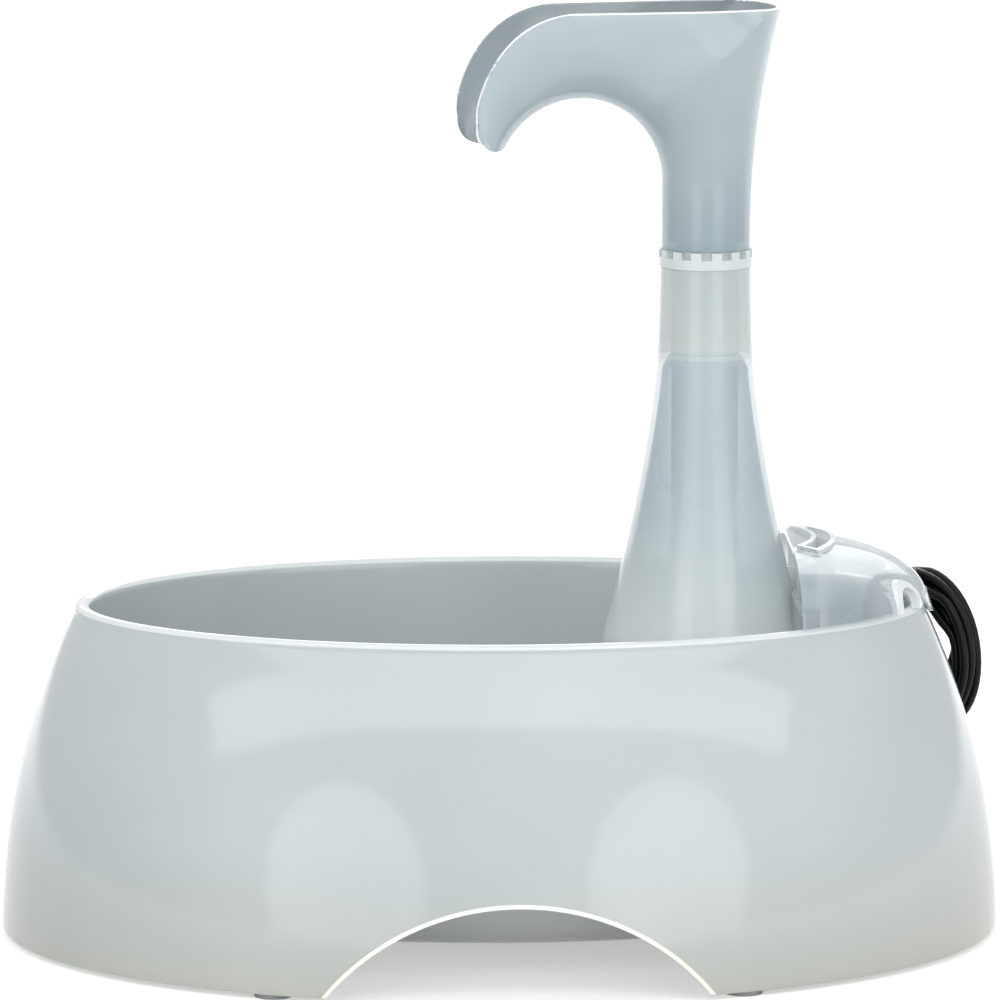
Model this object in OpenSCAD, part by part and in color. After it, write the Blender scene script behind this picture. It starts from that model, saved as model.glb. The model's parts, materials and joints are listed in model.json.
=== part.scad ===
// Pet water fountain: an oval double-walled bowl with a clear tower at one end.
// A submersible pump under the tower lifts water up a riser to an open gooseneck
// spout, which swivels on a crenellated collar. A curved filter cartridge stands in a
// slot in the hood, and the low-voltage cord leaves under an arch in the hood's edge.
// Millimetres, +Z up, origin at the middle of the bowl on the table.

/* [Bowl] */
// Length of the skirt at the table
skirt_l = 352; // [330:1:380]
// Width of the skirt at the table
skirt_w = 254; // [235:1:280]
// Length over the rim
rim_l = 297; // [290:1:310]
// Width over the rim
rim_w = 181; // [176:1:200]
// Height of the rim above the table
bowl_h = 118; // [110:1:125]
// Wall thickness of the bowl moulding
bowl_wall = 2.6; // [2:0.1:3.2]
// Radius of the rolled rim
rim_r = 3; // [2.8:0.1:3.4]
// Height of the drinking bowl's floor
floor_z = 12; // [10:0.5:14]
// How far the bowl's wall leans in from rim to floor
bowl_draft = 9; // [6:0.5:12]
// Radius between the bowl's floor and its wall
floor_fillet = 12; // [8:1:14]
// Gap between the skirt's edge and the table
skirt_gap = 2; // [1.5:0.1:3]

/* [Finger grips] */
// Width of each grip arch at the table
arch_w = 134; // [100:1:150]
// Height of each grip arch
arch_h = 34; // [26:1:40]
// Shift of the arches along the bowl
arch_x = 3; // [-5:1:5]

/* [Feet] */
// Distance between feet along the bowl
foot_pitch = 160; // [150:1:190]
// Radius of a rubber foot
foot_r = 6.5; // [5:0.1:7]
// Radius of the foot's stem
foot_stem_r = 4; // [3:0.1:4.5]
// Length of the foot's stem
foot_stem = 4; // [3:0.1:6]
// Height of the boss that holds a foot
foot_boss_h = 12; // [9:1:16]

/* [Tower] */
// Distance of the column's axis from the middle of the bowl
column_x = 72; // [68:1:74]
// Radius of the column at its top
column_top_r = 15.8; // [15.5:0.1:16.5]
// Radius of the bell that covers the pump
bell_r = 36; // [35:0.5:37]
// Height at which the flare starts
flare_z = 212; // [209:1:215]
// Height at which the flare has become the bell
bell_z = 103; // [98:1:106]
// Height of the seat ring inside the column
seat_z = 206; // [200:1:207]
// Height of the column's top edge
column_top_z = 236; // [232:1:240]
// Wall thickness of the tower
tower_wall = 2.2; // [1.8:0.1:2.6]
// Bore radius of the sleeve that carries the spout
sleeve_r = 12.1; // [12:0.05:12.4]
// Wall thickness of the sleeve
sleeve_wall = 1.1; // [1:0.1:1.3]
// Height of the water slots in the bell's foot
bell_slot_h = 12; // [8:1:16]
// Width of a water slot
bell_slot_w = 6; // [4:0.5:8]
// Number of water slots
bell_slots = 9; // [5:1:10]
// Height of the notch where the cord leaves the bell
cord_notch_h = 24; // [20:1:30]

/* [Filter] */
// Radius of the middle of the curved filter slot, round the column's axis
filter_r = 41.9; // [41.5:0.1:42.5]
// Thickness of the filter cartridge
filter_t = 4; // [3.4:0.1:4.4]
// Angle that the cartridge spans round the column
filter_span = 62; // [40:1:66]
// Height of the filter cartridge's foot
filter_z = 52; // [45:1:60]
// Height of the filter cartridge's top
filter_top_z = 131; // [126:1:133]
// Width of the cartridge's frame
filter_rail = 4; // [3:0.5:6]
// Wall thickness of the filter slot
slot_wall = 1.8; // [1.4:0.1:2]
// Gap between the cartridge and its slot
slot_gap = 0.5; // [0.4:0.1:0.7]
// Height of the slot's lip above the hood
slot_lip = 1.5; // [1:0.1:2.5]

/* [Hood] */
// Height of the hood's crest above the rim
hood_h = 20.5; // [18:0.5:23]
// Wall thickness of the hood
hood_wall = 2; // [1.6:0.1:2.4]
// Gap between the hood and the rim
hood_gap = 0.3; // [0.2:0.1:0.6]
// Distance of the hood's apron from the middle of the bowl
apron_x = 102; // [101:0.5:103]
// How far the apron reaches down into the bowl
apron_h = 18; // [10:1:24]
// Half length of the oval at the hood's crest
crest_a = 107; // [107:1:112]
// Half width of the oval at the hood's crest
crest_b = 42; // [36:1:46]
// How far the hood's lip hangs over the rim
hood_lip = 5; // [3:0.5:7]
// Width of the hood's lip
hood_lip_w = 38; // [30:1:40]
// Width of a cord arch
cord_arch_w = 13; // [10:0.5:14]
// Height of a cord arch
cord_arch_h = 8; // [6:0.5:9]
// Width of the raised band round a cord arch
bead_w = 2.6; // [1.5:0.1:3.5]
// How far that band stands out
bead_t = 1.2; // [0.6:0.1:1.6]
// Distance of the cord arches from the bowl's long axis
cord_arch_y = 29; // [28:0.5:30]

/* [Spout] */
// Height of the spout's flat top edge
spout_top_z = 327; // [320:1:335]
// Radius of the arch under the spout
belly_r = 30; // [28:0.5:32]
// Distance from the column's axis to the middle of that arch
belly_x = 45.5; // [43:0.5:48]
// Height of the middle of that arch
belly_z = 265.5; // [262:0.5:270]
// Radius of the spout's nose
nose_r = 34; // [32:0.5:36]
// Distance from the column's axis to the middle of the nose
nose_x = 50; // [48:0.5:52]
// Radius of the mouth's rounded lip, seen from the side
lip_r = 7; // [5:0.5:9]
// Half width of the channel at the mouth
mouth_w = 17.5; // [15:0.5:20]
// Half width of the funnel at the top of the column
funnel_w = 24.5; // [22:0.5:27]
// How far the funnel's back leans out at the top
funnel_lean = 10.7; // [8:0.1:12]
// Wall thickness of the spout
spout_wall = 2.2; // [1.8:0.1:2.6]
// Turn of the spout from the bowl's long axis
spout_turn = 11; // [-40:1:40]
// Outer radius of the nipple that turns in the sleeve
nipple_r = 12; // [11.95:0.05:12.3]
// Bore radius of the nipple
nipple_bore_r = 10; // [9.8:0.1:10.4]

/* [Collar] */
// Outer radius of the crenellated collar
collar_r = 16.4; // [16:0.1:17]
// Height of the collar
collar_h = 6; // [5:0.5:7]
// Height of the crenels
crenel_h = 2.6; // [2:0.1:3.5]
// Number of crenels
crenels = 14; // [8:1:18]

/* [Riser] */
// Outer radius of the riser tube
riser_r = 11.8; // [11.5:0.05:11.9]
// Wall thickness of the riser tube
riser_wall = 1.8; // [1.5:0.1:2]
// Height of the riser's shoulder
riser_top_z = 218; // [214:0.5:220]
// Length of the spigot above the shoulder
spigot_h = 9; // [6:0.5:12]
// Height of the flat seal on the shoulder
seal_h = 2.1; // [1.5:0.1:3]

/* [Pump] */
// Length of the motor block
motor_l = 20; // [18:1:21]
// Length of the pump chamber
chamber_l = 11; // [10:0.5:12]
// Width of the pump
pump_w = 34; // [32:1:36]
// Height of the pump
pump_h = 34; // [32:1:36]
// Height of the suction cups
cup_h = 5; // [4:0.5:6]
// Radius of a suction cup
cup_r = 5.5; // [5:0.1:6]
// Radius of the pump chamber
chamber_r = 12.5; // [12:0.1:13]
// Radius of the impeller
impeller_r = 11; // [10:0.1:11.5]
// Number of impeller blades
blades = 6; // [4:1:8]
// Radius of the rotor magnet
magnet_r = 6.5; // [6:0.1:7]
// Radius of the rotor shaft
shaft_r = 1; // [0.8:0.05:1.3]
// Radius of the outlet nozzle
nozzle_r = 6.5; // [6:0.1:7]
// Length of the intake cover
cover_l = 13; // [12:0.5:14]
// Wall thickness of the pump mouldings
pump_wall = 1.6; // [1.4:0.1:2]
// Radius of the flow dial
dial_r = 6; // [5:0.1:7]

/* [Cord] */
// Diameter of the cord
cord_d = 3.3; // [3:0.1:3.6]
// Mean radius of the wound coil
coil_r = 24; // [22:0.5:26]
// Thickness of the wound bundle
bundle_t = 10; // [9:0.5:11]
// Width of the wound bundle across its turns
bundle_w = 12; // [10:0.5:13]
// Length of the plug's grip
plug_l = 26; // [22:1:30]
// Radius of the plug's grip
plug_r = 5; // [4.5:0.1:5.5]
// Length of the plug's barrel
barrel_l = 9.5; // [9:0.5:11]
// Radius of the plug's barrel
barrel_r = 2.75; // [2.5:0.05:2.75]

/* [Hidden] */

$fn = 64;
// Small gap between pieces that meet
fit = 0.3;
// Radial clearance of a running fit
run = 0.05;
// Overlap that fuses two forms of one piece, and the overshoot of a cut
eps = 0.5;
// Points round an oval ring, and round a section of the spout
oval_n = 60;
horn_n = 28;

bowl_clear = "#d3d8d9";
tower_clear = "#c9d3d9";
spout_clear = "#bccad4";
collar_white = "#e4e8e8";
rubber_grey = "#8d9192";
pump_black = "#26282a";
pump_green = "#3d4a48";
cord_black = "#151516";

// ---- Bowl -------------------------------------------------------------------

// How far a wall that rises square from the table has leaned in at height z
function lean(z, drop, h) = let(r = (drop * drop + h * h) / (2 * drop)) r - sqrt(r * r - z * z);
function skirt_a(z) = skirt_l / 2 - lean(z, (skirt_l - rim_l) / 2, bowl_h);
function skirt_b(z) = skirt_w / 2 - lean(z, (skirt_w - rim_w) / 2, bowl_h);

rim_z = bowl_h - rim_r;
rim_a = skirt_a(rim_z) - rim_r;
rim_b = skirt_b(rim_z) - rim_r;
// Half length and half width of the drinking bowl's wall at height z
function wall_lean(z) = bowl_draft * (rim_z - z) / (rim_z - floor_z);
function bowl_a(z) = rim_a - rim_r - wall_lean(z);
function bowl_b(z) = rim_b - rim_r - wall_lean(z);

function oval(a, b, z) = [for (i = [0:oval_n - 1]) let(t = 360 * i / oval_n) [a * cos(t), b * sin(t), z]];

function reversed(v) = [for (i = [1:len(v)]) v[len(v) - i]];

// A closed skin through loops of equally many points, with flat ends
module skin(loops) {
    n = len(loops[0]);
    m = len(loops);
    points = [for (loop = loops) for (p = loop) p];
    sides = [for (j = [0:m - 2]) for (i = [0:n - 1]) for (half = [0, 1])
        let(a = j * n + i, b = j * n + (i + 1) % n)
        half == 0 ? [a, a + n, b] : [b, a + n, b + n]];
    first = [for (i = [0:n - 1]) i];
    last = [for (i = [0:n - 1]) m * n - 1 - i];
    polyhedron(points, concat([first], sides, [last]), convexity = 8);
}

skirt_steps = 8;
skirt_in_z = bowl_h - 10;
fillet_steps = 3;
rim_steps = 5;

function basin_loops() = let(
        fr = floor_fillet,
        fz = floor_z + fr,
        under = bowl_wall)
    concat(
        [for (i = [0:fillet_steps]) let(t = 90 * i / fillet_steps)
            oval(bowl_a(fz) - fr + fr * sin(t), bowl_b(fz) - fr + fr * sin(t), fz - fr * cos(t))],
        [for (i = [0:rim_steps]) let(t = 180 - 180 * i / rim_steps)
            oval(rim_a + rim_r * cos(t), rim_b + rim_r * cos(t), rim_z + rim_r * sin(t))],
        [for (i = [1:skirt_steps]) let(z = rim_z + (skirt_gap - rim_z) * i / skirt_steps)
            oval(skirt_a(z), skirt_b(z), z)],
        [for (i = [0:skirt_steps - 3]) let(z = skirt_gap + (skirt_in_z - skirt_gap) * i / (skirt_steps - 3))
            oval(skirt_a(z) - under, skirt_b(z) - under, z)],
        [oval(bowl_a(skirt_in_z) + under, bowl_b(skirt_in_z) + under, skirt_in_z)],
        [for (i = [0:fillet_steps]) let(t = 90 - 90 * i / fillet_steps, r = fr + under)
            oval(bowl_a(fz) - fr + r * sin(t), bowl_b(fz) - fr + r * sin(t), fz - r * cos(t))]);

// Radius of the arch that is arch_w wide on the table and arch_h high
arch_r = (arch_w * arch_w / 4 + arch_h * arch_h) / (2 * arch_h);

foot_x = foot_pitch / 2;
foot_boss_r = foot_r + 1;
foot_y = skirt_b(skirt_gap + foot_boss_h) * sqrt(1 - pow(foot_x / skirt_a(foot_boss_h), 2)) - foot_boss_r - 1;
foot_places = [[-foot_x, -foot_y], [foot_x, -foot_y], [foot_x, foot_y], [-foot_x, foot_y]];

module basin() {
    color(bowl_clear, 0.6) difference() {
        union() {
            skin(reversed(basin_loops()));
            for (p = foot_places)
                foot_boss(p);
        }
        for (side = [-1, 1])
            grip_arch(side);
        for (p = foot_places)
            translate([p[0], p[1], skirt_gap - eps])
                cylinder(r = foot_stem_r + run, h = foot_stem + eps + 0.2);
    }
}

// Boss on the inside of the skirt that holds one foot
module foot_boss(p) {
    translate([p[0], p[1], skirt_gap])
        cylinder(r = foot_boss_r, h = foot_boss_h);
}

module grip_arch(side) {
    depth = skirt_w / 2;
    inner = bowl_b(arch_h) + bowl_wall + 2;
    translate([arch_x, side > 0 ? inner : -inner, arch_h - arch_r])
        rotate([side > 0 ? -90 : 90, 0, 0])
            cylinder(r = arch_r, h = depth, $fn = 120);
}

module foot_pad(i) {
    p = foot_places[i];
    color(rubber_grey) translate([p[0], p[1], 0]) {
        cylinder(r = foot_r, h = skirt_gap);
        cylinder(r = foot_stem_r, h = skirt_gap + foot_stem);
    }
}

// ---- Tower ------------------------------------------------------------------

// Outer radius of the column's trumpet flare at height z
function flare_r(z) = z >= flare_z ? column_top_r + 0.7 * (column_top_z - z) / (column_top_z - flare_z)
    : column_top_r + 0.7 + (bell_r - column_top_r - 0.7) * pow((flare_z - z) / (flare_z - bell_z), 1.5);

flare_steps = 14;
flare_heights = [for (i = [0:flare_steps]) bell_z + (flare_z - bell_z) * i / flare_steps];
bell_foot_z = floor_z + fit;
seat_t = 2;

module column_shell() {
    rotate_extrude($fn = 72) polygon(concat(
        [[bell_r, bell_foot_z]],
        [for (z = flare_heights) [flare_r(z), z]],
        [[column_top_r, column_top_z], [column_top_r - tower_wall, column_top_z]],
        [for (i = [0:flare_steps]) let(z = flare_heights[flare_steps - i]) [flare_r(z) - tower_wall, z]],
        [[bell_r - tower_wall, bell_foot_z]]));
}

// Sleeve that the spout turns in, carried by the seat ring and joined at the top edge
module spout_sleeve() {
    outer = sleeve_r + sleeve_wall;
    difference() {
        union() {
            translate([0, 0, seat_z - seat_t])
                cylinder(r = outer, h = column_top_z - seat_z + seat_t);
            translate([0, 0, seat_z - seat_t])
                cylinder(r = flare_r(seat_z) - eps, h = seat_t);
            translate([0, 0, column_top_z - seat_t])
                cylinder(r = column_top_r - eps, h = seat_t);
        }
        translate([0, 0, seat_z - seat_t - eps])
            cylinder(r = sleeve_r, h = column_top_z - seat_z + seat_t + 2 * eps);
    }
}

module block(l, w, h, r) {
    translate([0, 0, h / 2]) union() {
        cube([l - 2 * r, w, h], center = true);
        cube([l, w - 2 * r, h], center = true);
        for (sx = [-1, 1], sy = [-1, 1])
            translate([sx * (l / 2 - r), sy * (w / 2 - r), 0])
                cylinder(r = r, h = h, center = true, $fn = 32);
    }
}

module bell_cuts() {
    for (i = [0:bell_slots - 1])
        rotate([0, 0, 90 + 180 * (i + 0.5) / bell_slots])
            translate([bell_r - tower_wall / 2, 0, bell_foot_z + bell_slot_h / 2])
                cube([3 * tower_wall, bell_slot_w, bell_slot_h + 2 * eps], center = true);
    translate([bell_r, cord_y, bell_foot_z + cord_notch_h / 2])
        cube([bell_r / 2, cord_d * 2.4, cord_notch_h + 2 * eps], center = true);
}

module tower() {
    color(tower_clear, 0.45) translate([column_x, 0, 0]) difference() {
        union() {
            column_shell();
            spout_sleeve();
        }
        bell_cuts();
    }
}

// ---- Hood -------------------------------------------------------------------

hood_z = bowl_h + hood_gap;
hood_steps = 7;
arc_n = 24;
hood_a = rim_a + rim_r + 0.6;
hood_b = rim_b + rim_r + 0.6;

// Part of an oval that lies beyond x0, closed by its chord
function oval_end(a, b, x0, z) = let(t = acos(x0 / a))
    [for (i = [0:arc_n]) let(u = -t + 2 * t * i / arc_n) [a * cos(u), b * sin(u), z]];

// Solid dome on the rim's oval, w inside the hood's outer face and lifted by up
module dome(w, up) {
    skin(concat(
        [oval_end(hood_a - w, hood_b - w, apron_x + w, hood_z - (w > 0 ? 3 : 0))],
        [for (i = [0:hood_steps]) let(t = 90 * i / hood_steps)
            oval_end(crest_a + (hood_a - crest_a) * cos(t) - w, crest_b + (hood_b - crest_b) * cos(t) - w,
                apron_x + w, hood_z + up + (w > 0 ? 0.01 : 0.1) + (hood_h - w) * sin(t))]));
}

// Upright wall that is t thick and spans a round the column's axis
module curved_wall(r, t, a, z, h) {
    translate([column_x, 0, z])
        rotate([0, 0, -a / 2])
            rotate_extrude(angle = a, $fn = 120) translate([r - t / 2, 0])
                square([t, h]);
}

slot_t = filter_t + 2 * slot_gap;
slot_span = filter_span + 2 * slot_gap * 180 / PI / filter_r;
lip_span = slot_span + 2 * slot_wall * 180 / PI / filter_r;

module hood_clip() {
    low = hood_z - hood_lip;
    a = skirt_a(low) + fit;
    b = skirt_b(low) + fit;
    intersection() {
        translate([0, 0, low]) difference() {
            oval_plate(a + hood_wall, b + hood_wall, hood_lip + 3);
            translate([0, 0, -eps])
                oval_plate(a, b, hood_lip + eps);
            translate([0, 0, -eps])
                oval_plate(hood_a - hood_wall, hood_b - hood_wall, hood_lip + 4);
        }
        translate([a - 14, -hood_lip_w / 2, low - eps])
            cube([20, hood_lip_w, hood_lip + 4]);
    }
}

module oval_plate(a, b, h) {
    linear_extrude(h) polygon([for (p = oval(a, b, 0)) [p[0], p[1]]]);
}

module apron() {
    half_w = bowl_b(hood_z - apron_h) * sqrt(1 - pow(apron_x / bowl_a(hood_z - apron_h), 2)) - 1.5;
    translate([apron_x, -half_w, hood_z - apron_h])
        cube([hood_wall, 2 * half_w, apron_h + 3]);
}

// Room for the column, a little wider than its flare at every height
module column_room() {
    translate([column_x, 0, 0]) rotate_extrude($fn = 72) polygon(concat(
        [[0, hood_z - apron_h - 1], [bell_r + fit, hood_z - apron_h - 1]],
        [for (z = flare_heights) if (z < hood_z + 50) [flare_r(z) + fit, z]],
        [[0, flare_heights[4]]]));
}

module hood() {
    color(tower_clear, 0.45) difference() {
        union() {
            difference() {
                dome(0, 0);
                dome(hood_wall, 0);
            }
            intersection() {
                curved_wall(filter_r, slot_t + 2 * slot_wall, lip_span, hood_z, hood_h + 5);
                dome(0, slot_lip);
            }
            hood_clip();
            apron();
            for (side = [-1, 1])
                arch_bead(side);
        }
        curved_wall(filter_r, slot_t, slot_span, hood_z - 1, hood_h + 8);
        column_room();
        for (side = [-1, 1])
            cord_arch(side);
    }
}

// Half-round form that stands across the hood's edge, square to the rim
module arch_form(side, w, h) {
    x = rim_a * sqrt(1 - pow(cord_arch_y / rim_b, 2));
    turn = atan2(cord_arch_y / (rim_b * rim_b), x / (rim_a * rim_a));
    reach = hood_h + 8;
    translate([x, side * cord_arch_y, hood_z])
        rotate([0, 0, side * turn]) {
            translate([-reach / 2, 0, h - w / 2])
                rotate([0, 90, 0])
                    cylinder(r = w / 2, h = reach);
            translate([-reach / 2, -w / 2, -hood_lip - 2])
                cube([reach, w, hood_lip + 2 + h - w / 2]);
        }
}

module cord_arch(side) {
    arch_form(side, cord_arch_w, cord_arch_h);
}

// Raised band round a cord arch
module arch_bead(side) {
    intersection() {
        difference() {
            dome(-bead_t, 0);
            dome(hood_wall, 0);
        }
        arch_form(side, cord_arch_w + 2 * bead_w, cord_arch_h + bead_w);
    }
}

// ---- Filter -----------------------------------------------------------------

filter_h = filter_top_z - filter_z;
rail_a = filter_rail * 180 / PI / filter_r;
pad_t = (filter_t - 0.6) / 2;

module filter_frame() {
    color("#5b6062") difference() {
        curved_wall(filter_r, filter_t, filter_span, filter_z, filter_h);
        curved_wall(filter_r, filter_t + 2 * eps, filter_span - 2 * rail_a, filter_z + filter_rail,
            filter_h - 2 * filter_rail);
    }
}

module filter_filling(side) {
    curved_wall(filter_r + side * (pad_t / 2 + 0.1), pad_t, filter_span - 2 * rail_a - 0.2,
        filter_z + filter_rail + 0.1, filter_h - 2 * filter_rail - 0.2);
}

module filter_pad() {
    color("#f1f3f0") filter_filling(1);
}

module carbon_bed() {
    color("#2f3133") filter_filling(-1);
}

// ---- Spout ------------------------------------------------------------------

collar_z = column_top_z + 0.1;
spout_z = collar_z + collar_h + 0.1;

// Radius of the spout's tube and funnel at height z, seen from the side
function funnel_r(z) = column_top_r - 0.1 + funnel_lean * pow(max(0, z - spout_z) / (spout_top_z - spout_z), 2.2);

tube_steps = 2;
belly_steps = 14;
belly_end = 158;
// Belly angle at which the back of the funnel meets the flat top edge
corner_t = 45;

// Place on the outer path that a section reaches at belly angle t: up the back, along the top, round the nose
function crown(t, w) = t <= corner_t
    ? let(z = belly_z + (spout_top_z - belly_z) * t / corner_t) [funnel_r(z) - w, z]
    : t <= 90
    ? let(s = (t - corner_t) / (90 - corner_t), x0 = funnel_r(spout_top_z) - w) [x0 - (x0 + nose_x) * s, spout_top_z]
    : let(a = 90 + (t - 90) * 106 / (belly_end - 90)) [-nose_x + nose_r * cos(a), spout_top_z - nose_r + nose_r * sin(a)];

function belly(t, w) = [-belly_x + (belly_r + w) * cos(t), belly_z + (belly_r + w) * sin(t)];
// Share of the way from belly to crown where the section is widest: half way in the tube, at the crown in the channel
function widest(t) = t < corner_t ? 0.5 : t > 80 ? 1 : 0.75 - 0.25 * cos(180 * (t - corner_t) / (80 - corner_t));
// Half width across the spout
function horn_w(t) = t <= corner_t
    ? column_top_r + (funnel_w - column_top_r) * pow(t / corner_t, 1.4)
    : mouth_w + (funnel_w - mouth_w) * (0.5 + 0.5 * cos(180 * (t - corner_t) / (belly_end - corner_t)));

function horn_section(u, t, k, half_w) = [for (i = [0:horn_n - 1]) let(
        a = 360 * i / horn_n,
        m = k - k * cos(a))
    [u[0] + (t[0] - u[0]) * m, -half_w * sin(a), u[1] + (t[1] - u[1]) * m]];

// Solid horn whose skin lies w inside the spout's outer face; over lengthens both ends
module horn(w, over) {
    skin(concat(
        [for (i = [0:tube_steps - 1]) let(z = spout_z - over + (belly_z - spout_z + over) * i / tube_steps)
            horn_section([-belly_x + belly_r + w, z], [funnel_r(z) - w, z], 0.5, column_top_r - w)],
        [for (i = [0:belly_steps]) let(t = (belly_end + over) * i / belly_steps)
            horn_section(belly(t, w), crown(t, w), widest(t), horn_w(t) - w)]));
}

// Side view of all that lies below the open edge, as a slab across the spout
module edge_slab() {
    reach = 2 * nose_r + nose_x;
    nose_z = spout_top_z - nose_r;
    // A small circle that touches the nose's circle from inside rounds the mouth's lip
    lip_at = [-nose_x + (nose_r - lip_r) * cos(200), nose_z + (nose_r - lip_r) * sin(200)];
    rotate([90, 0, 0]) translate([0, 0, -reach / 2]) linear_extrude(reach) union() {
        difference() {
            union() {
                translate([-nose_x, spout_z - 4])
                    square([reach, spout_top_z - spout_z + 4]);
                translate([-nose_x, nose_z])
                    circle(r = nose_r, $fn = 120);
            }
            translate([lip_at[0] + lip_r - nose_r, lip_at[1] - nose_r])
                square(nose_r);
        }
        translate(lip_at)
            circle(r = lip_r);
    }
}

module open_horn() {
    intersection() {
        difference() {
            horn(0, 0);
            horn(spout_wall, 3);
        }
        edge_slab();
    }
}

module spout() {
    shoulder_t = 2.4;
    color(spout_clear, 0.5) at_spout() difference() {
        union() {
            translate([0, 0, spout_z])
                resize([0, 0, spout_top_z - spout_z])
                    translate([0, 0, -spout_z])
                        open_horn();
            translate([0, 0, spout_z])
                cylinder(r = column_top_r - spout_wall / 2, h = shoulder_t);
            translate([0, 0, nipple_z])
                cylinder(r = nipple_r, h = spout_z - nipple_z + eps);
        }
        translate([0, 0, nipple_z - eps])
            cylinder(r = nipple_bore_r, h = spout_z - nipple_z + shoulder_t + 2 * eps);
    }
}

module at_spout() {
    translate([column_x, 0, 0])
        rotate([0, 0, spout_turn])
            children();
}

nipple_z = riser_top_z + seal_h + 0.1;

module swivel_collar() {
    wall = collar_r - nipple_r - run;
    color(collar_white) at_spout() difference() {
        translate([0, 0, collar_z])
            cylinder(r = collar_r, h = collar_h);
        translate([0, 0, collar_z - eps])
            cylinder(r = nipple_r + run, h = collar_h + 2 * eps);
        for (i = [0:crenels - 1])
            rotate([0, 0, 360 * i / crenels])
                translate([collar_r - wall / 4, 0, collar_z + collar_h - crenel_h / 2 + eps / 2])
                    cube([wall, PI * collar_r / crenels, crenel_h + eps], center = true);
    }
}

// ---- Riser ------------------------------------------------------------------

spigot_r = nipple_bore_r - 0.1;
pump_z = floor_z + cup_h;
axis_z = pump_z + pump_h / 2;
// The pump chamber stands under the riser
chamber_x = column_x - nozzle_r - 0.5;
motor_x = chamber_x + chamber_l;
outlet_z = pump_z + pump_h + 2;
riser_z = outlet_z + 3;

module riser_tube() {
    color(tower_clear, 0.6) translate([column_x, 0, 0]) difference() {
        union() {
            translate([0, 0, riser_z])
                cylinder(r = riser_r, h = riser_top_z - riser_z);
            translate([0, 0, riser_top_z - eps])
                cylinder(r = spigot_r, h = spigot_h + eps);
        }
        translate([0, 0, riser_z - eps])
            cylinder(r = riser_r - riser_wall, h = riser_top_z - riser_z - 4 + eps);
        translate([0, 0, riser_z])
            cylinder(r = spigot_r - 1.4, h = riser_top_z - riser_z + spigot_h + eps);
    }
}

module riser_seal() {
    color(collar_white) translate([column_x, 0, riser_top_z]) difference() {
        cylinder(r = riser_r, h = seal_h);
        translate([0, 0, -eps])
            cylinder(r = spigot_r + run, h = seal_h + 2 * eps);
    }
}

// Rubber sleeve that steps from the pump's nozzle to the riser
module riser_adapter() {
    plug_h = 9;
    color(rubber_grey) translate([column_x, 0, outlet_z]) difference() {
        union() {
            cylinder(r = riser_r, h = riser_z - outlet_z);
            cylinder(r = riser_r - riser_wall - run, h = riser_z - outlet_z + plug_h);
        }
        translate([0, 0, -eps])
            cylinder(r = nozzle_r + run, h = riser_z - outlet_z + plug_h + 2 * eps);
    }
}

// ---- Pump -------------------------------------------------------------------

cord_y = 8;
cord_z = pump_z + 9;
well_r = magnet_r + 0.8;
magnet_l = motor_l - 6;

module along_x(x, z = axis_z, y = 0) {
    translate([x, y, z])
        rotate([0, 90, 0])
            children();
}

module pump_body() {
    body_l = chamber_l + motor_l;
    color(pump_black) difference() {
        union() {
            translate([chamber_x + body_l / 2, 0, pump_z])
                block(body_l, pump_w, pump_h, 4);
            translate([column_x, 0, pump_z + pump_h - eps])
                cylinder(r = nozzle_r, h = 11 + eps);
        }
        along_x(chamber_x - eps)
            cylinder(r = chamber_r, h = chamber_l + eps);
        along_x(motor_x - eps)
            cylinder(r = well_r, h = magnet_l + 1 + eps);
        along_x(motor_x + magnet_l)
            cylinder(r = shaft_r + 1 + run, h = 3);
        translate([column_x, 0, axis_z])
            cylinder(r = nozzle_r - pump_wall, h = pump_h / 2 + 11 + eps);
        along_x(motor_x + motor_l - 3, cord_z, cord_y)
            cylinder(r = cord_d / 2 + 1.2 + run, h = 3 + eps);
    }
}

cover_gap = 0.3;
volute_t = 2;

module volute_cover() {
    color(pump_green) difference() {
        union() {
            along_x(chamber_x - volute_t)
                cylinder(r = chamber_r + 1.5, h = volute_t);
            along_x(chamber_x)
                cylinder(r = chamber_r - run, h = 1.2);
        }
        along_x(chamber_x - volute_t - eps)
            difference() {
                cylinder(r = 6, h = volute_t + 1.2 + 2 * eps);
                translate([0, 0, -eps])
                    cylinder(r = 3, h = volute_t + 4);
                for (a = [0, 120, 240])
                    rotate([0, 0, a])
                        translate([0, -0.8, -eps])
                            cube([8, 1.6, volute_t + 4]);
            }
        along_x(chamber_x - volute_t + 0.8)
            cylinder(r = shaft_r + 1 + run, h = volute_t + 2);
    }
}

blade_t = 1.4;
impeller_x = chamber_x + 2.2;
impeller_l = chamber_l - 4;
hub_r = shaft_r + 2.2;

module impeller() {
    color("#e9ecec") difference() {
        along_x(impeller_x) {
            cylinder(r = hub_r, h = impeller_l + 3.2);
            translate([0, 0, impeller_l - 1.2])
                cylinder(r = impeller_r, h = 1.2);
            for (i = [0:blades - 1])
                rotate([0, 0, 360 * i / blades])
                    impeller_blade();
        }
        along_x(impeller_x - eps)
            cylinder(r = shaft_r + run, h = impeller_l + 5);
    }
}

// A blade is an arc that sweeps back from the hub to the rim
module impeller_blade() {
    sweep_r = impeller_r * 0.8;
    linear_extrude(impeller_l - 1) intersection() {
        translate([sweep_r * 0.72, sweep_r * 0.66]) difference() {
            circle(r = sweep_r);
            circle(r = sweep_r - blade_t);
        }
        difference() {
            circle(r = impeller_r);
            circle(r = hub_r - 0.4);
        }
        translate([0, -impeller_r])
            square([impeller_r, impeller_r]);
    }
}

magnet_x = impeller_x + impeller_l + 3.2;

module rotor_magnet() {
    color("#3a3a3d") difference() {
        along_x(magnet_x)
            cylinder(r = magnet_r, h = motor_x + magnet_l - magnet_x);
        along_x(magnet_x - eps)
            cylinder(r = shaft_r + run, h = magnet_l + 4);
    }
}

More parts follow.
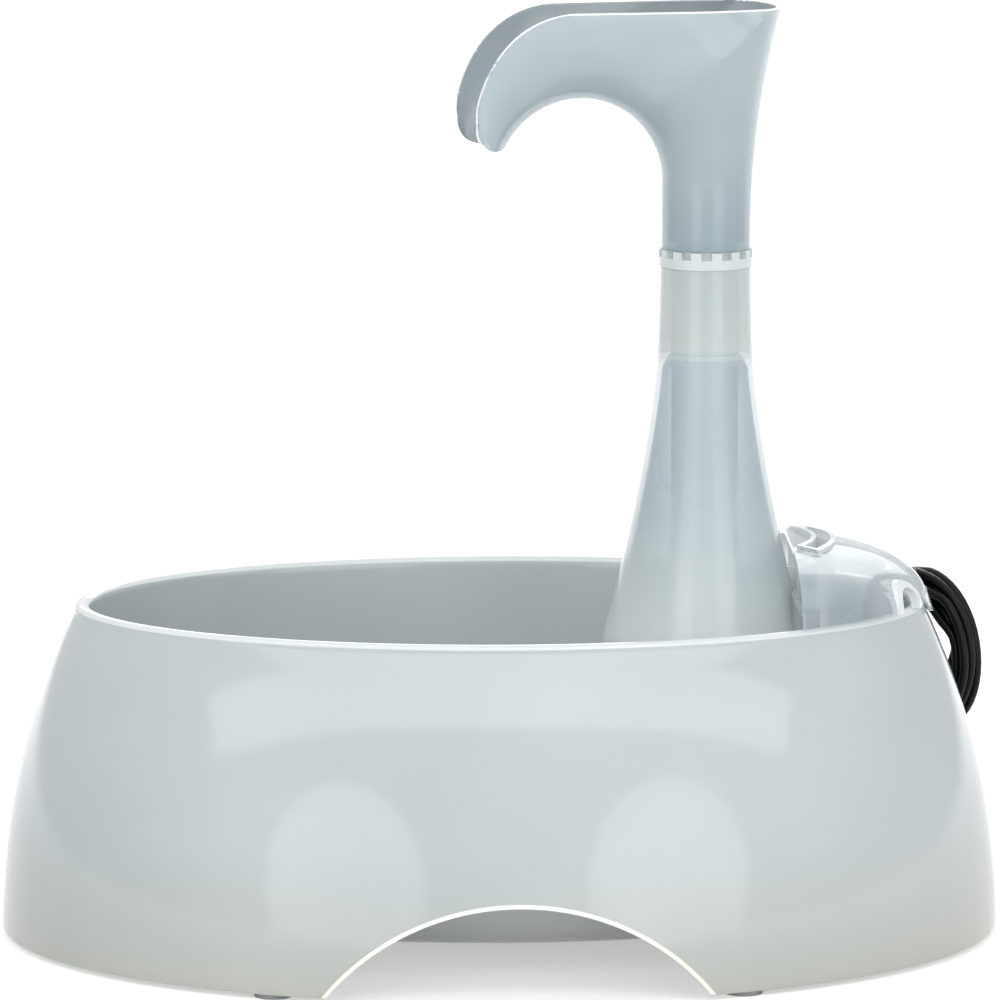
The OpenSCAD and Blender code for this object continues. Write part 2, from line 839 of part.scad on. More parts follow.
module rotor_shaft() {
    color("#f2f0ea") along_x(chamber_x - volute_t + 0.9)
        cylinder(r = shaft_r, h = motor_x + magnet_l + 2.9 - chamber_x + volute_t - 0.9);
}

module shaft_bush(x, l) {
    color(rubber_grey) difference() {
        along_x(x)
            cylinder(r = shaft_r + 1, h = l);
        along_x(x - eps)
            cylinder(r = shaft_r + run / 2, h = l + 2 * eps);
    }
}

module shaft_bush_front() {
    shaft_bush(chamber_x - volute_t + 0.8, volute_t - 0.8 + 1.8);
}

module shaft_bush_rear() {
    shaft_bush(motor_x + magnet_l + 1, 2);
}

module intake_cover() {
    wall = pump_wall;
    x0 = chamber_x - cover_gap - cover_l;
    color(pump_black) difference() {
        translate([x0 + cover_l / 2, 0, pump_z])
            block(cover_l, pump_w, pump_h, 4);
        translate([x0 + wall + cover_l / 2, 0, pump_z + wall])
            block(cover_l + eps, pump_w - 2 * wall, pump_h - 2 * wall, 2.6);
        for (i = [-3:3])
            translate([x0 - eps, i * 4 - 1, pump_z + 4])
                cube([wall + 2 * eps, 2, pump_h * 0.34]);
        for (i = [-1, 1])
            translate([x0 - eps, i * 11 - 1.5, pump_z + pump_h * 0.55])
                cube([wall + 2 * eps, 3, pump_h * 0.3]);
        along_x(x0 - eps, dial_z)
            cylinder(r = 2 + run, h = wall + 2 * eps);
    }
}

dial_z = pump_z + pump_h * 0.7;

module flow_dial() {
    x0 = chamber_x - cover_gap - cover_l;
    color("#6f7f86") {
        along_x(x0 - 1.8, dial_z)
            cylinder(r = dial_r, h = 1.7);
        along_x(x0 - 0.2, dial_z)
            cylinder(r = 2, h = pump_wall + 1.2);
        translate([x0 - 3, -0.8, dial_z - dial_r + 1])
            cube([1.4, 1.6, 2 * dial_r - 2]);
    }
}

module intake_sponge() {
    wall = pump_wall;
    sponge_l = 7;
    color("#2c2f31") translate([chamber_x - cover_gap - volute_t - 0.4 - sponge_l / 2, 0, pump_z + wall + fit])
        block(sponge_l, pump_w - 2 * wall - 2 * fit, pump_h - 2 * wall - 2 * fit, 2.4);
}

cup_places = [for (sx = [-1, 1], sy = [-1, 1])
    [chamber_x + (chamber_l + motor_l) / 2 + sx * 9, sy * (pump_w / 2 - cup_r - 0.5)]];

module suction_cup(i) {
    p = cup_places[i];
    lip = 1;
    color(rubber_grey) translate([p[0], p[1], floor_z]) difference() {
        rotate_extrude($fn = 40) polygon([[0, 0], [cup_r, 0], [cup_r, 0.5], [cup_r / 2, cup_h - 1.6], [cup_r / 2, cup_h], [0, cup_h]]);
        translate([0, 0, -eps])
            rotate_extrude($fn = 40) polygon([[0, 0], [cup_r - lip, 0], [cup_r - lip, eps],
                [lip / 2, eps + 1.6], [0, eps + 1.6]]);
    }
}

// ---- Cord -------------------------------------------------------------------

function unit(v) = v / norm(v);
function heading(p, i) = unit(p[min(i + 1, len(p) - 1)] - p[max(i - 1, 0)]);
// Side direction carried along the route without twist
function side_dir(p, i) = i == 0
    ? unit(cross(heading(p, 0), [0.1, 0.3, 1]))
    : let(t = heading(p, i), s = side_dir(p, i - 1)) unit(s - (s * t) * t);

module cord_tube(p) {
    sides = 8;
    skin([for (i = [0:len(p) - 1]) let(u = side_dir(p, i), v = cross(heading(p, i), u))
        [for (k = [0:sides - 1]) let(a = 360 * k / sides) p[i] + cord_d / 2 * (cos(a) * u + sin(a) * v)]]);
}

gland_out = 5;
// From the pump, out of the bell, up the bowl's wall, over the rim and down to the coil
lead_route = [
    [101, 8, 26], [107, 8, 26], [113.5, 8.5, 26], [119.5, 10, 27], [125, 13, 31], [128.5, 16, 37],
    [130.5, 18, 45], [131.5, 20, 54], [132, 21.5, 63], [132.3, 22.5, 72], [132.5, 23.3, 81],
    [132.5, 24, 90], [132.3, 24.3, 98], [131.9, 24.6, 105], [132, 25, 112], [133.4, 25.9, 117],
    [136.2, 27.5, 120.2], [139.5, 29.2, 121], [143.3, 32, 120.8], [146.8, 35.8, 120.4],
    [149.4, 40.2, 120.1], [151, 45.2, 119.7]];
// From the coil down behind the bowl and along the table to the plug
tail_route = [
    [141.2, 76, 70], [141.6, 77.2, 60], [141.5, 79, 50], [141.2, 81, 40],
    [141, 83.2, 30], [140.5, 85.8, 20], [139.4, 88.8, 11.5], [136.9, 92.3, 5.4], [133, 96.2, 2.4],
    [128, 101, 1.7], [122.8, 106.3, 1.7], [118.2, 111.8, 1.7], [113.8, 117.2, 2.1], [109.2, 121.6, 3.2],
    [104.6, 124.2, 4.6], [100, 125, 5]];
coil_at = [153.9, 54.5, 89.5];
coil_face = 35;
coil_lean = 4;
tie_turn = 130;
plug_at = [100, 125, 5];

module in_coil_frame() {
    translate(coil_at)
        rotate([0, 90 - coil_lean, coil_face])
            children();
}

module cord_gland() {
    r = cord_d / 2 + 1.2;
    x0 = motor_x + motor_l - 3;
    color(rubber_grey) difference() {
        union() {
            along_x(x0, cord_z, cord_y)
                cylinder(r = r, h = 3);
            along_x(x0 + 3, cord_z, cord_y)
                cylinder(r1 = r + 1, r2 = r - 0.4, h = gland_out);
        }
        along_x(x0 + 3 + gland_out - 2, cord_z, cord_y)
            cylinder(r = cord_d / 2 + run, h = 2 + eps);
    }
}

module cord_lead() {
    color(cord_black) cord_tube(lead_route);
}

module cord_tail() {
    color(cord_black) cord_tube(tail_route);
}

module cord_coil() {
    r = 3;
    color(cord_black) in_coil_frame() rotate_extrude($fn = 64) translate([coil_r, 0]) union() {
        square([bundle_w - 2 * r, bundle_t], center = true);
        square([bundle_w, bundle_t - 2 * r], center = true);
        for (sx = [-1, 1], sy = [-1, 1])
            translate([sx * (bundle_w / 2 - r), sy * (bundle_t / 2 - r)])
                circle(r = r, $fn = 24);
    }
}

module cord_tie() {
    band = 0.8;
    color("#303234") in_coil_frame() rotate([0, 0, tie_turn]) translate([coil_r, 0, 0]) difference() {
        cube([bundle_w + 2 * fit + 2 * band, 6, bundle_t + 2 * fit + 2 * band], center = true);
        cube([bundle_w + 2 * fit, 7, bundle_t + 2 * fit], center = true);
    }
}

module plug_body() {
    ridge = 0.5;
    color(cord_black) translate(plug_at) rotate([0, -90, 0]) {
        cylinder(r1 = plug_r * 0.6, r2 = plug_r - ridge, h = 6);
        translate([0, 0, 6])
            cylinder(r = plug_r - ridge, h = plug_l - 6);
        for (i = [0:4])
            translate([0, 0, 8 + i * 3])
                cylinder(r = plug_r, h = 1.5);
    }
}

module plug_barrel() {
    bore_r = 1.05;
    color("#c9ccce") translate(plug_at) rotate([0, -90, 0]) translate([0, 0, plug_l]) difference() {
        cylinder(r = barrel_r, h = barrel_l);
        translate([0, 0, 1])
            cylinder(r = bore_r, h = barrel_l);
    }
}

// ---- The nodes --------------------------------------------------------------

basin();
foot_pad(0);  // foot_pad_1
foot_pad(1);  // foot_pad_2
foot_pad(2);  // foot_pad_3
foot_pad(3);  // foot_pad_4
tower();
hood();
filter_frame();
filter_pad();
carbon_bed();
spout();
swivel_collar();
riser_tube();
riser_seal();
riser_adapter();
pump_body();
volute_cover();
impeller();
rotor_magnet();
rotor_shaft();
shaft_bush_front();
shaft_bush_rear();
intake_cover();
intake_sponge();
flow_dial();
suction_cup(0);  // suction_cup_1
suction_cup(1);  // suction_cup_2
suction_cup(2);  // suction_cup_3
suction_cup(3);  // suction_cup_4
cord_gland();
cord_lead();
cord_coil();
cord_tail();
cord_tie();
plug_body();
plug_barrel();
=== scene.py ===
# %% [markdown]
# # Pet water fountain
# An oval drinking bowl with a clear tower at one end. Water rises inside the tower and
# runs down an open gooseneck spout. Nearly every piece is thin see-through plastic, so
# the shapes are made as real walls with a thickness, and the light does the rest.

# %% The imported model
import json
import math

import bpy
from mathutils import Matrix, Vector


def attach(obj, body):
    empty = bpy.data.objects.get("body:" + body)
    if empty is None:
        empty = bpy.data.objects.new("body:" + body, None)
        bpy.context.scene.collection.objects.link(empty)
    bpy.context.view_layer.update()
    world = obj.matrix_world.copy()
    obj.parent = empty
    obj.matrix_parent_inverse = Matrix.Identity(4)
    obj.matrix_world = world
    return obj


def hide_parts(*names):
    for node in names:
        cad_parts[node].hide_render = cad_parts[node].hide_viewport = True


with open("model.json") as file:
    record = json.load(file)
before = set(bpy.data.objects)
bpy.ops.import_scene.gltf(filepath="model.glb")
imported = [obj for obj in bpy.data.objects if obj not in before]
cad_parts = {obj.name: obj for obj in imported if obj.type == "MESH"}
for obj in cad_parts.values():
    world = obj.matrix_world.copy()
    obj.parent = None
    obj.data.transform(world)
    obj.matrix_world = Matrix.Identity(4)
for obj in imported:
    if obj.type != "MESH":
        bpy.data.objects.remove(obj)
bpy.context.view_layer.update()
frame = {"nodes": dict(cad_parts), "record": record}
MM = 0.001

# %% [markdown]
# ## Camera
# A product shot is taken from a few metres with a long lens, so that ovals look calm.
# The camera stands a little above the rim and looks level across the bowl.

# %% Camera
CAMERA_AT = Vector((-0.0712, -2.4003, 0.546))
CAMERA_AIM = Vector((0.0001, 0.0, 0.15315))
LENS_MM, SENSOR_MM, FAR_LIMIT = 249.3, 36.0, 20.0
bpy.ops.object.select_all(action="DESELECT")
bpy.ops.object.camera_add(location=CAMERA_AT)
camera = bpy.context.object
camera.rotation_euler = (CAMERA_AIM - CAMERA_AT).to_track_quat("-Z", "Y").to_euler()
camera.data.lens = LENS_MM
camera.data.sensor_width = SENSOR_MM
camera.data.clip_end = FAR_LIMIT
bpy.context.scene.camera = camera
print("camera distance", round((CAMERA_AIM - CAMERA_AT).length, 3))

# %% [markdown]
# ## Small helpers
# Operators act on whatever is selected, so each step starts from a clean selection.
# A finished piece keeps its place in its mesh, with its object at the origin.

# %% Selecting and settling
def alone(piece):
    """Only this piece is selected and active."""
    if bpy.context.object and bpy.context.object.mode != "OBJECT":
        bpy.ops.object.mode_set(mode="OBJECT")
    bpy.ops.object.select_all(action="DESELECT")
    piece.select_set(True)
    bpy.context.view_layer.objects.active = piece


def settle(piece, name):
    """Name a piece and move its place into its mesh."""
    alone(piece)
    bpy.ops.object.transform_apply(location=True, rotation=True, scale=True)
    piece.name = name
    piece.data.name = name
    return piece


def apply_all(piece):
    """Every modifier becomes part of the mesh."""
    alone(piece)
    for modifier in list(piece.modifiers):
        bpy.ops.object.modifier_apply(modifier=modifier.name)


def outward(piece, merge=1e-5):
    """Doubles merged and faces turned outwards."""
    alone(piece)
    bpy.ops.object.mode_set(mode="EDIT")
    bpy.ops.mesh.select_all(action="SELECT")
    bpy.ops.mesh.remove_doubles(threshold=merge)
    bpy.ops.mesh.normals_make_consistent(inside=False)
    bpy.ops.object.mode_set(mode="OBJECT")


# %% Shading, joining and cutting
def smooth(piece, angle=35):
    """Smooth shading up to an angle, in which wide faces count more than slivers."""
    alone(piece)
    bpy.ops.object.shade_smooth_by_angle(angle=math.radians(angle))
    step = piece.modifiers.new("even shading", "WEIGHTED_NORMAL")
    step.keep_sharp = True
    bpy.ops.object.modifier_apply(modifier=step.name)


def cut(piece, cutter, how="DIFFERENCE"):
    """Boolean with a cutter, which is used up."""
    alone(piece)
    step = piece.modifiers.new("cut", "BOOLEAN")
    step.operation = how
    step.solver = "EXACT"
    step.object = cutter
    bpy.ops.object.modifier_apply(modifier=step.name)
    bpy.data.objects.remove(cutter, do_unlink=True)


def merged(piece, gap):
    """Joins points that lie closer than the gap, so that short edges don't stop a bevel."""
    alone(piece)
    bpy.ops.object.mode_set(mode="EDIT")
    bpy.ops.mesh.select_all(action="SELECT")
    bpy.ops.mesh.remove_doubles(threshold=gap * MM)
    bpy.ops.object.mode_set(mode="OBJECT")


def bevelled(piece, width, steps=2, angle=40):
    """A live bevel on every edge that is sharper than the angle."""
    step = piece.modifiers.new("soft edges", "BEVEL")
    step.width = width * MM
    step.segments = steps
    step.limit_method = "ANGLE"
    step.angle_limit = math.radians(angle)


# %% Basic forms
def rings(name, sizes, around, x=0.0, ends="cap"):
    """A circle drawn out ring by ring: each size is (half length, half width, height) in mm."""
    a, b, z = sizes[0]
    bpy.ops.object.select_all(action="DESELECT")
    bpy.ops.mesh.primitive_circle_add(vertices=around, radius=1.0, location=(0, 0, 0))
    piece = bpy.context.object
    bpy.ops.object.mode_set(mode="EDIT")
    bpy.ops.mesh.select_all(action="SELECT")
    bpy.ops.transform.resize(value=(a * MM, b * MM, 1))
    bpy.ops.transform.translate(value=(x * MM, 0, z * MM))
    if ends == "cap":
        bpy.ops.mesh.edge_face_add()
    for next_a, next_b, next_z in sizes[1:]:
        bpy.ops.mesh.extrude_region_move(TRANSFORM_OT_translate={"value": (0, 0, (next_z - z) * MM)})
        bpy.ops.transform.resize(value=(next_a / a, next_b / b, 1),
                                 center_override=(x * MM, 0, next_z * MM))
        a, b, z = next_a, next_b, next_z
    bpy.ops.object.mode_set(mode="OBJECT")
    piece = settle(piece, name)
    outward(piece)
    return piece


def turned(name, profile, around, x=0.0):
    """A body of revolution: profile is a closed loop of (radius, height) in mm."""
    return rings(name, [(r, r, z) for r, z in profile + profile[:1]], around, x, ends="open")


def box_at(name, low, high):
    """A block between its lowest and its highest corner, in mm."""
    low, high = Vector(low) * MM, Vector(high) * MM
    bpy.ops.object.select_all(action="DESELECT")
    bpy.ops.mesh.primitive_cube_add(size=1.0, location=(low + high) / 2)
    piece = bpy.context.object
    piece.scale = high - low
    return settle(piece, name)


def rod_at(name, r, length, at, turn=(0, 0, 0), around=64):
    """A cylinder that starts at a point and runs along its turned Z."""
    bpy.ops.object.select_all(action="DESELECT")
    bpy.ops.mesh.primitive_cylinder_add(
        vertices=around, radius=r * MM, depth=length * MM, location=(0, 0, 0))
    piece = bpy.context.object
    piece.matrix_world = (Matrix.Translation(Vector(at) * MM)
                          @ Matrix.Rotation(turn[2], 4, "Z") @ Matrix.Rotation(turn[1], 4, "Y")
                          @ Matrix.Rotation(turn[0], 4, "X")
                          @ Matrix.Translation((0, 0, length / 2 * MM)))
    return settle(piece, name)

# %% [markdown]
# ## Cord
# A thin two-core lead, 3.3 mm across and about 1.54 m long. It leaves the pump, climbs
# the bowl's inner wall, crosses the rim through an arch in the hood, and is wound in a
# coil that leans on the back of the skirt. From there its end runs to a barrel plug.

# %% Cord route
CORD_D = 3.3
LEAD = [
    (101, 8, 26), (107, 8, 26), (113.5, 8.5, 26), (119.5, 10, 27), (125, 13, 31), (128.5, 16, 37),
    (130.5, 18, 45), (131.5, 20, 54), (132, 21.5, 63), (132.3, 22.5, 72), (132.5, 23.3, 81),
    (132.5, 24, 90), (132.3, 24.3, 98), (131.9, 24.6, 105), (132, 25, 112), (133.4, 25.9, 117),
    (136.2, 27.5, 120.2), (139.5, 29.2, 121), (143.3, 32, 120.8), (146.8, 35.8, 120.4),
    (149.4, 40.2, 120.1), (151.2, 45.2, 119.9)]
TAIL = [
    (142.2, 77, 71), (142.3, 78, 60.5), (141.9, 79.4, 50), (141.3, 81.1, 40), (141, 83.2, 30),
    (140.5, 85.8, 20), (139.4, 88.8, 11.5), (136.9, 92.3, 5.4), (133, 96.2, 2.4), (128, 101, 1.7),
    (122.8, 106.3, 1.7), (118.2, 111.8, 1.7), (113.8, 117.2, 2.1), (109.2, 121.6, 3.2),
    (104.6, 124.2, 4.6), (100, 125, 5)]
COIL_AT = Vector((153.9, 54.5, 89.5))
COIL_FACE, COIL_LEAN, COIL_R = 35, 4, 24.0
coil_frame = (Matrix.Translation(COIL_AT) @ Matrix.Rotation(math.radians(COIL_FACE), 4, "Z")
              @ Matrix.Rotation(math.radians(90 - COIL_LEAN), 4, "Y"))
# Strands lie three by three; the order steps from each place to its neighbour.
STRANDS = [(1, -1), (0, -1), (-1, -1), (-1, 0), (-1, 1), (0, 1), (0, 0), (1, 0), (1, 1)]
STRAND_APART = (3.75, 3.35)  # across the ring and along its axis, a little over the cord's width
COIL_IN, TURNS, REST, FIRST_STEP, STEP, POINT_EVERY = 178, 8, 103, 115, 28, 8  # turns and degrees


def strand_place(turn, along):
    """Place of the cord across the bundle: a full place, then one step to the next on the way."""
    a, b = STRANDS[turn], STRANDS[min(turn + 1, TURNS)]
    s = min(max((along - FIRST_STEP - (TURNS - 1 - turn) * STEP) / STEP, 0), 1)
    s = s * s * (3 - 2 * s)
    return a[0] + (b[0] - a[0]) * s, a[1] + (b[1] - a[1]) * s


def winding():
    """Points of the coil, which wanders by a few tenths of a millimetre as hand-wound cord does."""
    points = []
    for i in range((360 * TURNS + REST) // POINT_EVERY + 1):
        turn, along = divmod(i * POINT_EVERY, 360)
        u, v = strand_place(turn, along)
        t = math.radians(COIL_IN - along)
        loose = 0.4 * math.sin(t * 2 + turn * 2.1) + 0.25 * math.sin(t * 3 + turn * 1.3)
        r = COIL_R + STRAND_APART[0] * u + loose
        w = STRAND_APART[1] * v + 0.12 * math.sin(t * 2 + turn)
        points.append(coil_frame @ Vector((r * math.cos(t), r * math.sin(t), w)))
    return points


route = [Vector(p) for p in LEAD] + winding() + [Vector(p) for p in TAIL]

# %% Cord piece
def smooth_route(points, rounds=2):
    """Middle points pulled towards their neighbours where the lead and tail meet the coil."""
    for _ in range(rounds):
        between = [p * 0.5 + (a + b) * 0.25 for a, p, b in zip(points, points[1:], points[2:])]
        points = [points[0]] + between + [points[-1]]
    return points


join_in, join_out = len(LEAD), len(route) - len(TAIL)
route[join_in - 3:join_in + 4] = smooth_route(route[join_in - 3:join_in + 4])
route[join_out - 4:join_out + 3] = smooth_route(route[join_out - 4:join_out + 3])
cord_line = bpy.data.curves.new("power_cord", "CURVE")
cord_line.dimensions = "3D"
cord_line.bevel_depth = CORD_D / 2 * MM
cord_line.bevel_resolution = 4
cord_line.use_fill_caps = True
spline = cord_line.splines.new("POLY")
spline.points.add(len(route) - 1)
for point, p in zip(spline.points, route):
    point.co = (*(p * MM), 1)
spline.use_smooth = True
cord = bpy.data.objects.new("power_cord", cord_line)
bpy.context.collection.objects.link(cord)

# %% [markdown]
# ## Bowl
# The real bowl is one moulding: an outer skirt, a rolled rim and an inner bowl, with air
# between the walls. Its section is drawn out ring by ring from the inner floor, over the
# rim, down the skirt and back up inside, so the wall has its true thickness everywhere.

# %% Bowl sizes
SKIRT_A, SKIRT_B, RIM_A, RIM_B, BOWL_H = 176.0, 127.0, 148.5, 90.5, 118.0
WALL, RIM_R, FLOOR_Z, DRAFT, FILLET, GAP = 2.6, 3.0, 12.0, 9.0, 12.0, 2.0
RIM_Z = BOWL_H - RIM_R


def lean(z, drop):
    """How far the skirt has leaned in at a height: an arc that is upright at the table."""
    r = (drop * drop + BOWL_H * BOWL_H) / (2 * drop)
    return r - math.sqrt(r * r - z * z)


def skirt(z, inset=0.0):
    """Half length and half width of the skirt's outer face at a height."""
    return (SKIRT_A - lean(z, SKIRT_A - RIM_A) - inset,
            SKIRT_B - lean(z, SKIRT_B - RIM_B) - inset)


def bowl_inside(z, inset=0.0):
    """Half length and half width of the inner bowl at a height."""
    a, b = skirt(RIM_Z)
    w = 2 * RIM_R + DRAFT * (RIM_Z - z) / (RIM_Z - FLOOR_Z) + inset
    return a - w, b - w


OUTER_HEIGHTS = (109, 103, 97, 90, 80, 70, 60, 50, 40, 30, 20, 12, 6, 3)
INNER_HEIGHTS = (3, 6, 12, 20, 30, 40, 50, 60, 70, 80, 90, 100, 105)
# The skirt's foot is eased, and the two walls meet in a narrow crook under the rim.
FOOT_ROUND, CROOK, CROOK_Z = 0.5, 1.2, 107.6


def bowl_section():
    """The closed section: floor fillet, inner wall, rim, skirt, and the same way back inside."""
    fillet_z = FLOOR_Z + FILLET
    floor_a, floor_b = (v - FILLET for v in bowl_inside(fillet_z))
    rim_a, rim_b = (v - RIM_R for v in skirt(RIM_Z))
    section = []
    for i in range(9):
        t = math.radians(90 * i / 8)
        out = FILLET * math.sin(t)
        section.append((floor_a + out, floor_b + out, fillet_z - FILLET * math.cos(t)))
    section += [(*bowl_inside(z), z) for z in range(30, 115, 12)]
    for i in range(13):
        t = math.pi * (1 - i / 12)
        out = RIM_R * math.cos(t)
        section.append((rim_a + out, rim_b + out, RIM_Z + RIM_R * math.sin(t)))
    section += [(*skirt(z), z) for z in OUTER_HEIGHTS]
    section += [(*skirt(GAP, FOOT_ROUND), GAP), (*skirt(GAP, WALL - FOOT_ROUND), GAP)]
    section += [(*skirt(z, WALL), z) for z in INNER_HEIGHTS]
    section += [(*skirt(108, WALL + CROOK), CROOK_Z)]
    section += [(*bowl_inside(108, -WALL - CROOK), CROOK_Z), (*bowl_inside(105, -WALL), 105)]
    section += [(*bowl_inside(z, -WALL), z) for z in range(90, 25, -15)]
    for i in range(7):
        t = math.radians(90 - 90 * i / 6)
        r = FILLET + WALL
        section.append((floor_a + r * math.sin(t), floor_b + r * math.sin(t), fillet_z - r * math.cos(t)))
    return section


bowl = rings("bowl", bowl_section(), 180)
print("bowl faces", len(bowl.data.polygons))

# %% [markdown]
# The grip arches are cut through the skirt with a long, flat cylinder on each side.
# It stops short of the inner bowl, so only the outer wall opens.

# %% Grip arches
ARCH_W, ARCH_H, ARCH_X = 134.0, 34.0, 3.0
ARCH_R = (ARCH_W ** 2 / 4 + ARCH_H ** 2) / (2 * ARCH_H)
arch_in = bowl_inside(ARCH_H)[1] + WALL + 2


def arch_rod(name, side, r):
    """A round bar across one side of the skirt, whose top is the arch."""
    return rod_at(name, r, 60, (ARCH_X, side * arch_in, ARCH_H - ARCH_R), (-side * math.pi / 2, 0, 0), 256)


# A thin raised bead runs along each arch, so that fingers meet no sharp edge.
BEAD_W, BEAD_T, BEAD_IN = 1.4, 0.6, 1.2
BEAD_HEIGHTS = [5, 10, 15, 20, 25, 30, 34]
for side in (-1, 1):
    bead = rings("bead", [(*skirt(z, -BEAD_T), z) for z in [2.4, *BEAD_HEIGHTS, 38]], 180)
    cut(bead, rings("inside", [(*skirt(z, BEAD_IN), z) for z in [1.4, *BEAD_HEIGHTS, 39]], 180))
    cut(bead, arch_rod("keep", side, ARCH_R + BEAD_W), "INTERSECT")
    cut(bowl, bead, "UNION")
    cut(bowl, arch_rod("cutter", side, ARCH_R))

# %% Bosses for the feet
FOOT_X, FOOT_R, BOSS_H, STUD_R, STUD_H = 80.0, 6.5, 12.0, 4.05, 5.0
foot_y = skirt(GAP + BOSS_H)[1] * math.sqrt(1 - (FOOT_X / skirt(BOSS_H)[0]) ** 2) - FOOT_R - 2
for foot_x in (-FOOT_X, FOOT_X):
    for y in (-foot_y, foot_y):
        boss = rod_at("boss", FOOT_R + 1, BOSS_H, (foot_x, y, GAP))
        cut(boss, rod_at("cutter", STUD_R, STUD_H, (foot_x, y, GAP - 0.6)))
        cut(bowl, boss, "UNION")
bevelled(bowl, 0.35, 2, 50)
apply_all(bowl)
smooth(bowl, 30)
print("bowl faces", len(bowl.data.polygons))

# %% [markdown]
# ## Tower
# The column and the bell over the pump are one moulding that widens like a trumpet.
# Its section is turned round the column's axis; the seat ring and the sleeve that
# holds the spout are drawn in the same section.

# %% Tower sizes
COLUMN_X, TOP_R, BELL_R, TOWER_WALL = 72.0, 15.8, 36.0, 2.2
FLARE_Z, BELL_Z, TOP_Z = 212.0, 103.0, 236.0
SEAT_Z, SEAT_T = 204.2, 1.6
SLEEVE_R, SLEEVE_Z, TAPER = 12.1, 204, 0.7


def flare(z):
    """The tower's outer radius at a height: nearly straight at the top, then a widening trumpet."""
    if z >= FLARE_Z:
        return TOP_R + TAPER * (TOP_Z - z) / (TOP_Z - FLARE_Z)
    return TOP_R + TAPER + (BELL_R - TOP_R - TAPER) * ((FLARE_Z - z) / (FLARE_Z - BELL_Z)) ** 1.5


def tower_section():
    """The closed section: up the outside, over the top, down the sleeve and down the inside."""
    foot, inner = FLOOR_Z + 0.3, BELL_R - TOWER_WALL
    heights = sorted([*range(103, 236, 4), SEAT_Z, SEAT_Z + SEAT_T])
    up = [(BELL_R, foot), (BELL_R, 60)] + [(flare(z), z) for z in heights]
    top = [(TOP_R, 235.6), (TOP_R - 0.4, 236), (SLEEVE_R + 0.3, 236), (SLEEVE_R, 235.7)]
    sleeve = [(SLEEVE_R, SLEEVE_Z), (SLEEVE_R + 1.1, SLEEVE_Z)]
    down = [(flare(z) - TOWER_WALL, z) for z in range(200, 102, -4)] + [(inner, 60), (inner, foot)]
    return up + top + sleeve + down


# %% Tower piece
# Water enters through slots in the left half of the bell's foot, and the cord leaves through
# a notch at its right.
SLOTS, SLOT_W, SLOT_H = 9, 6.0, 12.8
NOTCH_Y, NOTCH_Z = (4.04, 11.96), (11, 36.8)
tower = turned("tower_shell", tower_section(), 144, COLUMN_X)
for i in range(SLOTS):
    a = math.pi / 2 + math.pi * (i + 0.5) / SLOTS
    slot_cut = box_at("cutter", (BELL_R - 4, -SLOT_W / 2, FLOOR_Z - 1),
                      (BELL_R + 4, SLOT_W / 2, FLOOR_Z + SLOT_H))
    slot_cut.matrix_world = Matrix.Translation((COLUMN_X * MM, 0, 0)) @ Matrix.Rotation(a, 4, "Z")
    cut(tower, slot_cut)
cut(tower, box_at("cutter", (COLUMN_X + BELL_R - 9, NOTCH_Y[0], NOTCH_Z[0]),
                  (COLUMN_X + BELL_R + 9, NOTCH_Y[1], NOTCH_Z[1])))
bevelled(tower, 0.3, 2, 50)
apply_all(tower)
smooth(tower, 30)
print("tower faces", len(tower.data.polygons))

# %% [markdown]
# ## Hood
# The hood is a domed cap that follows the rim's oval and closes the bowl's end. A whole
# dome is drawn out ring by ring, then cut down to its end and given its openings.

# %% Hood sizes and forms
HOOD_Z, HOOD_H, HOOD_WALL = BOWL_H + 0.3, 20.5, 2.0
APRON_X, APRON_LOW, APRON_T = 102.0, 18, 2
HOOD_A, HOOD_B = (v + 0.6 for v in skirt(RIM_Z))
CREST_A, CREST_B = 107.0, 42.0


def dome(name, inset, low):
    """The hood's outer form, or a form that lies deeper by the inset and starts lower."""
    sizes = [(HOOD_A - inset, HOOD_B - inset, HOOD_Z - low)]
    for i in range(17):
        t = math.radians(90 * i / 16)
        sizes.append((CREST_A + (HOOD_A - CREST_A) * math.cos(t) - inset,
                      CREST_B + (HOOD_B - CREST_B) * math.cos(t) - inset,
                      HOOD_Z + 0.1 + (HOOD_H - inset) * math.sin(t)))
    return rings(name, sizes, 180)


def curved_slab(name, r, thick, span, low, high):
    """An upright wall that follows a circle round the column's axis."""
    bpy.ops.object.select_all(action="DESELECT")
    bpy.ops.mesh.primitive_plane_add(size=1.0, location=(0, 0, 0))
    piece = bpy.context.object
    bpy.ops.object.mode_set(mode="EDIT")
    bpy.ops.mesh.select_all(action="SELECT")
    bpy.ops.transform.rotate(value=math.pi / 2, orient_axis="X", center_override=(0, 0, 0))
    bpy.ops.transform.resize(value=(thick * MM, 1, (high - low) * MM), center_override=(0, 0, 0))
    bpy.ops.transform.translate(value=((COLUMN_X + r) * MM, 0, (low + high) / 2 * MM))
    bpy.ops.object.mode_set(mode="OBJECT")
    settle(piece, name)
    axis = Vector((COLUMN_X * MM, 0, 0))
    back = (Matrix.Translation(axis) @ Matrix.Rotation(math.radians(-span / 2), 4, "Z")
            @ Matrix.Translation(-axis))
    for v in piece.data.vertices:
        v.co = back @ v.co
    bpy.ops.object.mode_set(mode="EDIT")
    bpy.ops.mesh.select_all(action="SELECT")
    bpy.ops.mesh.spin(steps=int(span), angle=-math.radians(span), center=axis, axis=(0, 0, 1))
    bpy.ops.object.mode_set(mode="OBJECT")
    outward(piece)
    return piece


# %% Hood shell
hood = dome("hood_shell", 0, 0)
cut(hood, dome("inner", HOOD_WALL, 3))

